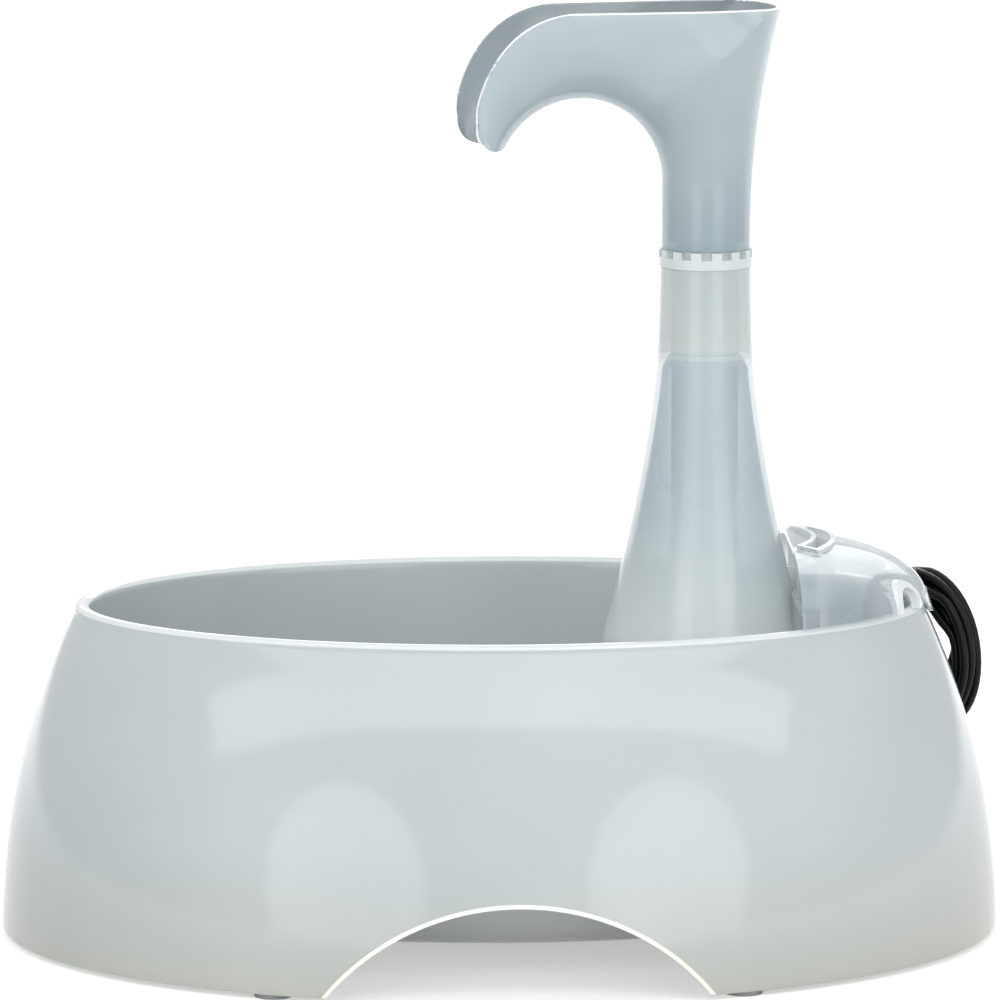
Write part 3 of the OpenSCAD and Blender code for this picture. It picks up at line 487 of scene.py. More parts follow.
# A raised lip frames the slot in which the filter stands.
FILTER_R, FILTER_T, FILTER_SPAN, SLOT_ROOM, SLOT_WALL, SLOT_LIP = 41.9, 4.0, 62.0, 1.0, 1.8, 1.5
slot_t = FILTER_T + SLOT_ROOM
slot_span = FILTER_SPAN + math.degrees(SLOT_ROOM / FILTER_R)
lip_span = slot_span + math.degrees(2 * SLOT_WALL / FILTER_R)
lip = curved_slab("lip", FILTER_R, slot_t + 2 * SLOT_WALL, lip_span, HOOD_Z, HOOD_Z + 26)
outer = dome("outer", 0, 0)
for v in outer.data.vertices:
    if v.co.z > (HOOD_Z + 0.05) * MM:
        v.co.z += SLOT_LIP * MM
cut(lip, outer, "INTERSECT")
cut(hood, lip, "UNION")

# The dome is cut down to its end, closed by an apron, and opened for filter and tower.
apron_z = HOOD_Z - APRON_LOW
inside_a, inside_b = bowl_inside(apron_z)
half_w = inside_b * math.sqrt(1 - (APRON_X / inside_a) ** 2) - 1.5
cut(hood, box_at("keep", (APRON_X, -90, 90), (160, 90, 160)), "INTERSECT")
cut(hood, box_at("apron", (APRON_X, -half_w, apron_z), (APRON_X + APRON_T, half_w, HOOD_Z + 3)), "UNION")
cut(hood, curved_slab("cutter", FILTER_R, slot_t, slot_span, HOOD_Z - 1, HOOD_Z + 30))
TOWER_ROOM = 0.3
room = [(BELL_R + TOWER_ROOM, BELL_R + TOWER_ROOM, apron_z - 1)]
room += [(flare(z) + TOWER_ROOM, flare(z) + TOWER_ROOM, z) for z in range(103, 172, 4)]
cut(hood, rings("room", room, 144, COLUMN_X))
print("hood faces", len(hood.data.polygons))

# %% [markdown]
# Two small arches in the hood's edge let the cord out at the back or the front. Each has
# a raised band: a shell a little larger than the dome, kept only near the arch. A tab at
# the far end hangs over the rim, so that the hood lifts with a thumb.

# %% Cord arches and tab
ARCH_Y, ARCH_IN, ARCH_TOP, BAND_W, BAND_T, TAB = 29.0, 13.0, 8.0, 2.6, 1.2, 5.0
rim_mid = [v - RIM_R for v in skirt(RIM_Z)]
arch_at = rim_mid[0] * math.sqrt(1 - (ARCH_Y / rim_mid[1]) ** 2)
arch_turn = math.atan2(ARCH_Y / rim_mid[1] ** 2, arch_at / rim_mid[0] ** 2)


def arch_form(side, wide, high):
    """A half-round bar that stands across the hood's edge."""
    far = (HOOD_H + 8) / 2
    form = box_at("arch", (-far, -wide / 2, -TAB - 2), (far, wide / 2, high - wide / 2))
    top = rod_at("round", wide / 2, 2 * far, (-far, 0, high - wide / 2), (0, math.pi / 2, 0), 48)
    cut(form, top, "UNION")
    form.matrix_world = (Matrix.Translation(Vector((arch_at, side * ARCH_Y, HOOD_Z)) * MM)
                         @ Matrix.Rotation(side * arch_turn, 4, "Z"))
    return settle(form, "arch")


for side in (-1, 1):
    band = dome("band", -BAND_T, -0.05)
    cut(band, dome("inner", HOOD_WALL / 2, 3))
    cut(band, arch_form(side, ARCH_IN + 2 * BAND_W, ARCH_TOP + BAND_W), "INTERSECT")
    cut(hood, band, "UNION")
    cut(hood, arch_form(side, ARCH_IN, ARCH_TOP))
TAB_R, TAB_T = 26.0, 2.0
tab_low = HOOD_Z - TAB
tab_a, tab_b = (v + 0.3 for v in skirt(tab_low))
tab = rings("tab", [(tab_a + TAB_T, tab_b + TAB_T, tab_low), (HOOD_A, HOOD_B, HOOD_Z + 3)], 180)
cut(tab, rings("under", [(tab_a, tab_b, tab_low - 1), (tab_a, tab_b, HOOD_Z)], 180))
in_a, in_b = HOOD_A - 1.5, HOOD_B - 1.5
cut(tab, rings("inside", [(in_a, in_b, tab_low - 1), (in_a, in_b, HOOD_Z + 4)], 180))
cut(tab, rod_at("keep", TAB_R, 30, (tab_a - 24, 0, tab_low + TAB_R), (0, math.pi / 2, 0), 96), "INTERSECT")
cut(hood, tab, "UNION")
bevelled(hood, 0.4, 2, 50)
apply_all(hood)
smooth(hood, 30)
print("hood faces", len(hood.data.polygons))

# %% [markdown]
# ## Spout
# The spout is a tube that opens into a funnel and then a channel with a round nose. Its
# walls follow two paths, the arch below and the crown above. A flat grid is wrapped on
# sections between the two, and the part above the open edge is cut off afterwards.

# %% Spout sizes
COLLAR_Z, COLLAR_H, SEAT_GAP = TOP_Z + 0.1, 6.0, 0.1
SPOUT_Z, SPOUT_TOP, SPOUT_TURN = COLLAR_Z + COLLAR_H + SEAT_GAP, 327.0, 11.0
BELLY_R, BELLY_X, BELLY_Z, NOSE_R, NOSE_X = 30.0, 45.5, 265.5, 34.0, 50.0
MOUTH_W, FUNNEL_W, FUNNEL_LEAN, SPOUT_WALL = 17.5, 24.5, 10.7, 2.2
# The form stands this far over the flat edge, so that its walls are steep where it is cut.
CREST = 12.0
# Angles along the path: the corner over the funnel, the open channel, the belly's end and
# how far the nose turns while the belly runs from its top to its end.
CORNER, CHANNEL, BELLY_END, NOSE_TURN = 45.0, 80.0, 158.0, 106.0
TUBE_SHARE = 0.12  # the first part of the path is the upright tube


def funnel(z):
    """How far the tube's right side stands from its axis: it leans out towards the flat edge."""
    return TOP_R - 0.1 + FUNNEL_LEAN * (max(0, z - SPOUT_Z) / (SPOUT_TOP - SPOUT_Z)) ** 2.2


def crown(t, deep):
    """Upper path at t degrees: up the funnel, along the top and down round the nose."""
    high = SPOUT_TOP + CREST
    if t <= CORNER:
        z = BELLY_Z + (high - BELLY_Z) * t / CORNER
        return funnel(z) - deep, z
    if t <= 90:
        x0, along = funnel(high) - deep, (t - CORNER) / (90 - CORNER)
        return x0 - (x0 + NOSE_X) * along, high - CREST * along
    a = math.radians(90 + (t - 90) * NOSE_TURN / (BELLY_END - 90))
    return -NOSE_X + NOSE_R * math.cos(a), SPOUT_TOP - NOSE_R + NOSE_R * math.sin(a)


def belly(t, deep):
    """Lower path at t degrees: the arch under the channel."""
    a = math.radians(t)
    return -BELLY_X + (BELLY_R + deep) * math.cos(a), BELLY_Z + (BELLY_R + deep) * math.sin(a)


def half_width(t):
    """Half the form's width at t degrees: widest at the corner, narrowest at the mouth."""
    if t <= CORNER:
        return TOP_R + (FUNNEL_W - TOP_R) * (t / CORNER) ** 1.4
    past = 180 * (t - CORNER) / (BELLY_END - CORNER)
    return MOUTH_W + (FUNNEL_W - MOUTH_W) * (0.5 + 0.5 * math.cos(math.radians(past)))


def roundness(t):
    """0.5 where a section is a full ring, 1 where it is a channel that lies open to the top."""
    if t < CORNER:
        return 0.5
    if t > CHANNEL:
        return 1
    return 0.75 - 0.25 * math.cos(math.pi * (t - CORNER) / (CHANNEL - CORNER))


def horn_point(along, turn, deep, foot, mouth):
    """Point of the form's skin: along runs from foot to mouth, turn goes round, deep is the
    depth under the outer face. Foot and mouth are how far the form runs past its ends."""
    if along < TUBE_SHARE:
        z = SPOUT_Z - foot + (BELLY_Z - SPOUT_Z + foot) * along / TUBE_SHARE
        under, over, k, half = (-BELLY_X + BELLY_R + deep, z), (funnel(z) - deep, z), 0.5, TOP_R
    else:
        t = (BELLY_END + mouth) * (along - TUBE_SHARE) / (1 - TUBE_SHARE)
        under, over, k, half = belly(t, deep), crown(t, deep), roundness(t), half_width(t)
    m = k - k * math.cos(turn)
    return Vector((under[0] + (over[0] - under[0]) * m, -(half - deep) * math.sin(turn),
                   under[1] + (over[1] - under[1]) * m))


# %% Spout form
def horn(name, deep, foot, mouth, along=110, around=72):
    """A flat grid wrapped on the form's skin and closed at both ends."""
    bpy.ops.object.select_all(action="DESELECT")
    bpy.ops.mesh.primitive_grid_add(x_subdivisions=along, y_subdivisions=around, size=2.0, location=(0, 0, 0))
    piece = bpy.context.object
    for v in piece.data.vertices:
        v.co = horn_point((v.co.x + 1) / 2, math.pi * (v.co.y + 1), deep, foot, mouth) * MM
    outward(piece)
    bpy.ops.object.mode_set(mode="EDIT")
    bpy.ops.mesh.select_all(action="DESELECT")
    bpy.ops.mesh.select_non_manifold()
    bpy.ops.mesh.edge_face_add()
    bpy.ops.mesh.select_all(action="SELECT")
    bpy.ops.mesh.normals_make_consistent(inside=False)
    bpy.ops.object.mode_set(mode="OBJECT")
    piece.name = name
    return piece


SWELL, SWELL_AT, SWELL_SPREAD = 1.8, 5, 20  # in mm, and in degrees under the level


def nose_reach(x, z):
    """How far the nose reaches towards a point: it swells above its lip, blunter than a circle."""
    off = math.degrees(math.atan2(SPOUT_TOP - NOSE_R - z, -NOSE_X - x)) - SWELL_AT
    return NOSE_R + SWELL * math.exp(-(off / SWELL_SPREAD) ** 2)


def on_edge(piece, gap):
    """Points just under the flat open edge move onto it, so that it can be rounded evenly."""
    for v in piece.data.vertices:
        if v.co.x > -NOSE_X * MM and (SPOUT_TOP - gap) * MM < v.co.z:
            v.co.z = SPOUT_TOP * MM


def at_spout(piece):
    """From a place round the origin to the column, turned as the spout is."""
    alone(piece)
    piece.matrix_world = (Matrix.Translation((COLUMN_X * MM, 0, 0))
                          @ Matrix.Rotation(math.radians(SPOUT_TURN), 4, "Z"))
    bpy.ops.object.transform_apply(location=True, rotation=True, scale=True)


# %% What lies under the spout's open edge
below_edge = box_at("keep", (-NOSE_X, -60, SPOUT_Z - 1), (NOSE_X + 2 * NOSE_R, 60, SPOUT_TOP))
nose = rod_at("nose", NOSE_R, 120, (-NOSE_X, 60, SPOUT_TOP - NOSE_R), (math.pi / 2, 0, 0), 180)
heart = Vector((-NOSE_X, 0, SPOUT_TOP - NOSE_R)) * MM
for v in nose.data.vertices:
    side = Vector((0, v.co.y, 0))
    v.co = heart + side + (v.co - side - heart) * nose_reach(v.co.x / MM, v.co.z / MM) / NOSE_R
cut(below_edge, nose, "UNION")
# The mouth ends in a round lip, in place of the nose's sharp lower corner.
LIP_R, LIP_OUT, LIP_DOWN = 8.0, 27.5, 5.8
lip_x, lip_z = -NOSE_X - LIP_OUT, SPOUT_TOP - NOSE_R - LIP_DOWN
cut(below_edge, box_at("corner", (lip_x - 20, -70, lip_z - 40), (lip_x + 0.8 * LIP_R, 70, lip_z)))
cut(below_edge, rod_at("lip", LIP_R, 122, (lip_x, 61, lip_z), (math.pi / 2, 0, 0), 48), "UNION")

# %% Spout piece
SNAP_GAP, MERGE_GAP = 0.55, 0.3
NIPPLE_R, NIPPLE_IN, NIPPLE_LOW, SHOULDER_R, SHOULDER_H = 12, 10, 220.2, 14.7, 2.4
spout = horn("spout_shell", 0, 0, 10)
cut(spout, horn("inner", SPOUT_WALL, 3, 13))
cut(spout, below_edge, "INTERSECT")
on_edge(spout, SNAP_GAP)
merged(spout, MERGE_GAP)
shoulder_top = SPOUT_Z + SHOULDER_H
cut(spout, turned("shoulder", [(NIPPLE_IN, NIPPLE_LOW), (NIPPLE_R, NIPPLE_LOW), (NIPPLE_R, SPOUT_Z),
                               (SHOULDER_R, SPOUT_Z), (SHOULDER_R, shoulder_top),
                               (NIPPLE_IN, shoulder_top)], 96), "UNION")
at_spout(spout)
bevelled(spout, 0.5, 3, 50)
spout.modifiers[-1].use_clamp_overlap = False
apply_all(spout)
smooth(spout, 35)
print("spout faces", len(spout.data.polygons))

# %% [markdown]
# ## Collar
# A milky ring between column and spout with a crown of short teeth. The teeth are what
# is left when blocks are cut out of the upper edge.

# %% Collar
COLLAR_R, COLLAR_IN = 16.4, 12.05
TEETH, TOOTH_GAP, TOOTH_ROOT, TOOTH_Z = 14, 3.7, 13.2, COLLAR_Z + 3.4
collar_top = COLLAR_Z + COLLAR_H
collar = turned("crown_collar", [(COLLAR_IN, COLLAR_Z), (COLLAR_R, COLLAR_Z), (COLLAR_R, collar_top),
                                 (COLLAR_IN, collar_top)], 112)
for i in range(TEETH):
    gap = box_at("cutter", (TOOTH_ROOT, -TOOTH_GAP / 2, TOOTH_Z), (19, TOOTH_GAP / 2, collar_top + 1))
    gap.matrix_world = Matrix.Rotation(2 * math.pi * i / TEETH, 4, "Z")
    cut(collar, gap)
at_spout(collar)
bevelled(collar, 0.3, 2, 50)
apply_all(collar)
smooth(collar, 30)
print("collar faces", len(collar.data.polygons))

# %% [markdown]
# ## Plastics
# Milky polypropylene lets light through but blurs it; the clear mouldings of the same
# plastic are thinner and only faintly blue. Walls this thin hardly bend the light, so
# they are made partly see-through by alpha, and how solid a wall looks is a number of
# each finish. One function turns hex colours to linear, one adds nodes.

# %% Material helpers
MIX_A, MIX_B, MIX_OUT = 6, 7, 2  # where a colour mix has its two colours and its result


def linear(hex_colour):
    """An sRGB hex colour in linear light."""
    levels = [int(hex_colour[i:i + 2], 16) / 255 for i in (1, 3, 5)]
    return (*[c / 12.92 if c <= 0.04045 else ((c + 0.055) / 1.055) ** 2.4 for c in levels], 1.0)


def node(material, kind, settings=None, **links):
    """One node with its settings; links name an input and give the output that feeds it."""
    added = material.node_tree.nodes.new(kind)
    for name, value in (settings or {}).items():
        if name in added.inputs:
            added.inputs[name].default_value = value
        else:
            setattr(added, name, value)
    for name, output in links.items():
        material.node_tree.links.new(output, added.inputs[name.replace("_", " ")])
    return added


def finish_of(name, colour, **sockets):
    """A new material with one shader; its sockets are named as in the shader."""
    material = bpy.data.materials.new(name)
    material.use_nodes = True
    shader = material.node_tree.nodes["Principled BSDF"]
    shader.inputs["Base Color"].default_value = linear(colour)
    for key, value in sockets.items():
        shader.inputs[key.replace("_", " ")].default_value = value
    return material


def paint(piece, material):
    """This finish alone."""
    piece.data.materials.clear()
    piece.data.materials.append(material)


# %% [markdown]
# A cut edge shows the wall's whole thickness, so it looks denser than the skin. Edges and rims are also
# painted whiter, a painted highlight. Each face gets a number that the finish reads: 1 where it is full.

# %% Marked edges
# Limits in mm: the slack of a test on a face's place, how deep the spout's rounded edge and
# the wall's end at the nose reach, and how deep the column's and the bowl's rims reach.
NEAR, SPOUT_RIM, NOSE_END, COLUMN_RIM, BOWL_RIM = 0.1, 0.75, 9, 0.7, 1.3


def mark(piece, name, share):
    """A number for each face: share gives it from the face's middle, normal and lowest point."""
    values = piece.data.attributes.new(name, "FLOAT", "FACE").data
    for face in piece.data.polygons:
        low = min(piece.data.vertices[i].co.z for i in face.vertices)
        values[face.index].value = share(face.center / MM, face.normal, low / MM)


def unturned(middle, normal):
    """A face's middle and normal as if the spout stood at the origin and pointed straight left."""
    back = Matrix.Rotation(math.radians(-SPOUT_TURN), 3, "Z")
    return back @ (middle - Vector((COLUMN_X, 0, 0))), back @ normal


def spout_edge_highlight(middle, normal, low):
    """1 on the cut edge of the open spout: a painted highlight on the wall's thickness."""
    if low > SPOUT_TOP - SPOUT_RIM:
        return 1.0
    p, n = unturned(middle, normal)
    out = Vector((p.x + NOSE_X, 0, p.z - SPOUT_TOP + NOSE_R))
    at_nose = out.length > NOSE_R - NOSE_END and p.x < -NOSE_X + 6
    return 1.0 if at_nose and n.dot(out.normalized()) > 0.6 else 0.0


def spout_channel_shade(middle, normal, low):
    """1 on the skin that faces into the channel, where shade is painted."""
    p, n = unturned(middle, normal)
    heart = Vector((0, 0, p.z))
    if p.z > BELLY_Z:
        t = math.degrees(math.atan2(p.z - BELLY_Z, p.x + BELLY_X))
        under, over = belly(t, 0), crown(t, 0)
        heart = Vector(((under[0] + over[0]) / 2, 0, (under[1] + over[1]) / 2))
    return 1.0 if n.dot(p - heart) < 0 else 0.0


def tower_edge_highlight(middle, normal, low):
    """Painted highlight: 1 on the column's top edge, and half on the seat ring that shows through the wall.
    """
    if low > TOP_Z - COLUMN_RIM:
        return 1.0
    return 0.5 if SEAT_Z - NEAR < low and middle.z < SEAT_Z + SEAT_T + NEAR else 0.0


def bowl_edge_highlight(middle, normal, low):
    """Painted highlight: 1 round the grip arches and under the skirt, where the wall ends, and 0.6 on the
    rim.
    """
    if middle.z < GAP + 0.6 and normal.z < -0.5:
        return 1.0
    if middle.z > BOWL_H - BOWL_RIM:
        return 0.6
    out = math.hypot(middle.x - ARCH_X, middle.z - ARCH_H + ARCH_R) - ARCH_R
    wide, deep = skirt(middle.z)
    on_bead = out < BEAD_W and math.hypot(middle.x / wide, middle.y / deep) > 1.001
    at_arch = abs(middle.y) > 80 and middle.z < ARCH_H + 2
    return 1.0 if at_arch and (abs(out) < NEAR or on_bead) else 0.0


def hood_edge_highlight(middle, normal, low):
    """Painted highlight, part of 1, on the bands round the cord arches and on the lip of the filter slot."""
    inner, outer = ARCH_IN / 2 - NEAR, ARCH_IN / 2 + BAND_W + NEAR
    for side in (-1, 1):
        p = middle - Vector((arch_at, side * ARCH_Y, HOOD_Z))
        p = Matrix.Rotation(-side * arch_turn, 3, "Z") @ p
        r = math.hypot(p.y, max(0, p.z - ARCH_TOP + ARCH_IN / 2))
        if inner < r < outer and p.z < ARCH_TOP + BAND_W + NEAR and p.x > -8:
            return 0.8
    from_slot = abs(math.hypot(middle.x - COLUMN_X, middle.y) - FILTER_R)
    turn = abs(math.degrees(math.atan2(middle.y, middle.x - COLUMN_X)))
    on_lip = slot_t / 2 - NEAR < from_slot < slot_t / 2 + SLOT_WALL + NEAR and turn < slot_span / 2 + 3
    return 0.7 if middle.z > HOOD_Z + 2 and on_lip else 0.0


# Each piece gets its number for denser alpha and a painted highlight on edges and rims.
for piece, share in ((spout, spout_edge_highlight), (bowl, bowl_edge_highlight), (tower, tower_edge_highlight), (hood, hood_edge_highlight)):
    mark(piece, "dense_edge_and_highlight", share)
    highlight_faces = sum(v.value > 0.5 for v in piece.data.attributes["dense_edge_and_highlight"].data)
    print(piece.name, "edge faces", highlight_faces)
# The channel number says where shade is painted on the skin inside the spout.
mark(spout, "channel", spout_channel_shade)

# %% [markdown]
# Polypropylene is cloudy in the mass, and its clouds are one to a dozen centimetres wide. A wall
# looks denser where it is seen at a slant and at its cut edge, so both add to how solid
# it is. A fine unevenness of the moulded skin breaks up its reflections.

# %% Polypropylene by height
def by_height(material, place, tone_from, tone_to, window):
    """Two shares that change with height in metres: the tone comes in between two heights,
    and the window between its own two heights, but only where the tone is absent."""
    height = node(material, "ShaderNodeSeparateXYZ", Vector=place).outputs["Z"]
    toned = node(material, "ShaderNodeMapRange", {"From Min": tone_from, "From Max": tone_to}, Value=height)
    above = node(material, "ShaderNodeMapRange", {"interpolation_type": "SMOOTHSTEP", "From Min": window[0],
                                                  "From Max": window[1]}, Value=height)
    paned = node(material, "ShaderNodeMath", {"operation": "SUBTRACT", "use_clamp": True},
                 Value=above.outputs["Result"])
    material.node_tree.links.new(toned.outputs["Result"], paned.inputs[1])
    return toned.outputs["Result"], paned.outputs["Value"]


# %% How solid a wall looks
def solidity(material, edge_and_highlight, toned, paned, levels, thick, clearer, passes):
    """Alpha from three levels: seen from the front, at a slant and at a cut edge. It grows
    with the tone, falls in the window, and lamp light passes more easily than sight."""
    link = material.node_tree.links.new
    front, slanted, edge = levels
    slant = node(material, "ShaderNodeLayerWeight", {"Blend": 0.35}).outputs["Facing"]
    density = node(material, "ShaderNodeMapRange", {"To Min": front, "To Max": slanted}, Value=slant)
    window = node(material, "ShaderNodeMath", {"operation": "MULTIPLY_ADD"}, Value=paned)
    window.inputs[1].default_value = -clearer
    link(density.outputs["Result"], window.inputs[2])
    wall = node(material, "ShaderNodeMath", {"operation": "MULTIPLY_ADD", "use_clamp": True}, Value=toned)
    wall.inputs[1].default_value = thick
    link(window.outputs["Value"], wall.inputs[2])
    end = node(material, "ShaderNodeMix", {"B": edge}, Factor=edge_and_highlight, A=wall.outputs["Value"])
    lamp_light = node(material, "ShaderNodeLightPath").outputs["Is Shadow Ray"]
    share = node(material, "ShaderNodeMapRange", {"To Min": 1.0, "To Max": 1.0 - passes}, Value=lamp_light)
    alpha = node(material, "ShaderNodeMath", {"operation": "MULTIPLY"}, Value=end.outputs["Result"])
    link(share.outputs["Result"], alpha.inputs[1])
    return alpha.outputs["Value"]


# %% Polypropylene
NO_WINDOW = (-1.0, -0.9, "#ffffff", 0.0)


# The default tone is a painted warm reflection from the surface below, fading in over the lowest 5 cm.
def polypropylene(name, pale, deep, cloud_mm, levels, roughness, skin_mm, passes=0.7,
                  tone="#fbf4e8", tone_from=0.05, tone_to=0.0, inside="#c4cbcf", thick=0.0,
                  window=NO_WINDOW):
    """Milky plastic. Levels are how solid it looks from the front, at a slant and at a cut
    edge, and window is (first height, second height, colour, how much clearer)."""
    material = finish_of(name, pale, IOR=1.49)
    link = material.node_tree.links.new
    shader = material.node_tree.nodes["Principled BSDF"]
    place = node(material, "ShaderNodeTexCoord").outputs["Object"]
    clouds = node(material, "ShaderNodeTexNoise",
                  {"Scale": 1000 / cloud_mm, "Detail": 2.0, "Roughness": 0.45}, Vector=place)
    tint = node(material, "ShaderNodeMix", {"data_type": "RGBA"}, Factor=clouds.outputs["Fac"])
    tint.inputs[MIX_A].default_value, tint.inputs[MIX_B].default_value = linear(deep), linear(pale)
    # The edge number makes the wall denser and paints a highlight on edges and rims.
    edge_and_highlight = node(material, "ShaderNodeAttribute", {"attribute_name": "dense_edge_and_highlight"}).outputs["Fac"]
    # The channel number darkens the skin inside the spout: painted shade.
    channel_shade = node(material, "ShaderNodeAttribute", {"attribute_name": "channel"}).outputs["Fac"]
    toned, paned = by_height(material, place, tone_from, tone_to, window)
    # Over the clouds come the painted highlight on cut edges and rims, the painted shade in the spout's
    # channel, the tone by height (thicker wall, or low down a painted warm reflection) and the window's
    # colour.
    colour = tint.outputs[MIX_OUT]
    for share, blend, layer in ((edge_and_highlight, "MIX", "#f3f6f6"), (channel_shade, "MULTIPLY", inside),
                                (toned, "MULTIPLY", tone), (paned, "MULTIPLY", window[2])):
        mixed = node(material, "ShaderNodeMix", {"data_type": "RGBA", "blend_type": blend}, Factor=share)
        link(colour, mixed.inputs[MIX_A])
        mixed.inputs[MIX_B].default_value = linear(layer)
        colour = mixed.outputs[MIX_OUT]
    link(colour, shader.inputs["Base Color"])
    link(solidity(material, edge_and_highlight, toned, paned, levels, thick, window[3], passes), shader.inputs["Alpha"])
    skin = node(material, "ShaderNodeTexNoise", {"Scale": 1000 / skin_mm, "Detail": 3.0}, Vector=place)
    sheen = node(material, "ShaderNodeMapRange", {"To Min": roughness - 0.04, "To Max": roughness + 0.06},
                 Value=skin.outputs["Fac"])
    link(sheen.outputs["Result"], shader.inputs["Roughness"])
    uneven = node(material, "ShaderNodeBump", {"Strength": 0.35, "Distance": 0.12 * MM},
                  Height=skin.outputs["Fac"])
    link(uneven.outputs["Normal"], shader.inputs["Normal"])
    return material


# %% The polypropylene mouldings
# The bowl is thick and polished, so it is nearly solid and mirrors the lamps softly.
# Its lowest 5 cm take the default tone: a painted warm reflection from the surface it stands on.
milky_pp = polypropylene(
    "milky_polypropylene_polished", "#cbd2d3", "#aab4b8", cloud_mm=130,
    levels=(0.93, 1.0, 1.0), roughness=0.09, skin_mm=14, passes=0.6)
# The tower is milky at its foot and over the seat ring, and clearer and bluish between.
clear_pp = polypropylene(
    "clear_polypropylene_polished", "#e9eeec", "#cfd8db", cloud_mm=40,
    levels=(0.6, 0.9, 0.85), roughness=0.1, skin_mm=10, passes=0.97,
    tone="#dae0df", tone_from=0.201, tone_to=0.208, thick=0.12,
    window=(0.1, 0.185, "#b0c2cd", 0.27))
# The hood is the thinnest and clearest moulding, with a painted highlight on its arch bands and slot lip.
hood_pp = polypropylene(
    "clear_polypropylene_hood", "#cdd7da", "#9dacb5", cloud_mm=20,
    levels=(0.3, 0.84, 0.95), roughness=0.07, skin_mm=8, passes=0.9)
# The spout is bluer than the rest, darkest low in the tube, and has painted shade inside its channel.
spout_pp = polypropylene(
    "blue_clear_polypropylene", "#ccd9dd", "#b0c0c6", cloud_mm=40,
    levels=(0.72, 0.94, 0.95), roughness=0.11, skin_mm=9,
    tone="#cdd6da", tone_from=0.3, tone_to=0.24, inside="#a2a9ad")
# Collar and riser are white and hardly see-through; the riser's extruded skin is glossier.
collar_pp = polypropylene(
    "milky_polypropylene_collar", "#dfe4e4", "#ccd4d6", cloud_mm=12,
    levels=(0.82, 0.97, 1.0), roughness=0.25, skin_mm=5)
riser_pp = polypropylene(
    "milky_extruded_tube", "#fafbf8", "#f1f5f2", cloud_mm=30,
    levels=(0.9, 1.0, 0.95), roughness=0.12, skin_mm=6)

# %% [markdown]
# The other plastics, the rubbers and the plug's metal share one build: a faint, slow
# change of tone, and a fine grain in the surface. Spark eroded moulds give ABS a grain
# of about 0.4 mm. Ground ceramic and plated metal are finer than the eye can see, so
# their grain is drawn as coarse as it needs to show.

# %% Moulded finishes
def moulded(name, pale, deep, tone_mm, grain_mm, depth_mm, roughness, **sockets):
    """An opaque moulded finish with a slow change of tone and a fine grain."""
    material = finish_of(name, pale, **sockets)
    link = material.node_tree.links.new
    shader = material.node_tree.nodes["Principled BSDF"]
    place = node(material, "ShaderNodeTexCoord").outputs["Object"]
    tone = node(material, "ShaderNodeTexNoise", {"Scale": 1000 / tone_mm, "Detail": 3.0}, Vector=place)
    tint = node(material, "ShaderNodeMix", {"data_type": "RGBA"}, Factor=tone.outputs["Fac"])
    tint.inputs[MIX_A].default_value, tint.inputs[MIX_B].default_value = linear(deep), linear(pale)
    link(tint.outputs[MIX_OUT], shader.inputs["Base Color"])
    grain = node(material, "ShaderNodeTexNoise", {"Scale": 1000 / grain_mm, "Detail": 2.0}, Vector=place)
    worn = node(material, "ShaderNodeMapRange", {"To Min": roughness - 0.07, "To Max": roughness + 0.07},
                Value=grain.outputs["Fac"])
    link(worn.outputs["Result"], shader.inputs["Roughness"])
    relief = node(material, "ShaderNodeBump", {"Strength": 0.6, "Distance": depth_mm * MM},
                  Height=grain.outputs["Fac"])
    link(relief.outputs["Normal"], shader.inputs["Normal"])
    return material


# Each row has a pale and a deep colour, the widths of tone and grain and the grain's depth
# in mm, and a roughness. Soft PVC is a dim satin black, rubber is matt, ABS is an even
# satin, acetal is waxy white, ferrite is dark with specks, and nickel mirrors.
pvc_black = moulded("soft_pvc_jacket", "#0b0b0c", "#060607", 20, 1.2, 0.05, 0.34, Specular_IOR_Level=0.18)
rubber_grey = moulded("moulded_grey_rubber", "#8d9192", "#7d8283", 10, 0.5, 0.04, 0.6)
abs_black = moulded("abs_fine_spark_texture", "#2b2d2f", "#212325", 25, 0.4, 0.05, 0.5)
acetal_white = moulded("acetal_moulded", "#eceeee", "#dfe2e2", 12, 0.8, 0.02, 0.35)
ferrite = moulded("sintered_ferrite", "#3e3e41", "#2e2e31", 1.5, 0.25, 0.03, 0.6)
alumina = moulded("ground_alumina", "#efede7", "#e5e2db", 4, 0.2, 0.01, 0.25)
abs_grey = moulded("abs_moulded_grey", "#60666a", "#53595c", 18, 0.4, 0.04, 0.45)
dial_grey = moulded("abs_moulded_blue_grey", "#748690", "#677780", 12, 0.4, 0.04, 0.45)
seal_white = moulded("silicone_flat_seal", "#eef1f0", "#e0e5e4", 10, 0.6, 0.02, 0.4)
nickel = moulded("nickel_plated_brass", "#cfd1d2", "#c0c2c4", 6, 0.3, 0.01, 0.2, Metallic=1.0)

# %% [markdown]
# Foam, fibre and carbon are porous. Open foam is a net of cells about a millimetre wide,
# carbon lies in it as dull grains, and the filter floss is felted from long fine fibres,
# so its pattern is cells drawn out along the fibres.

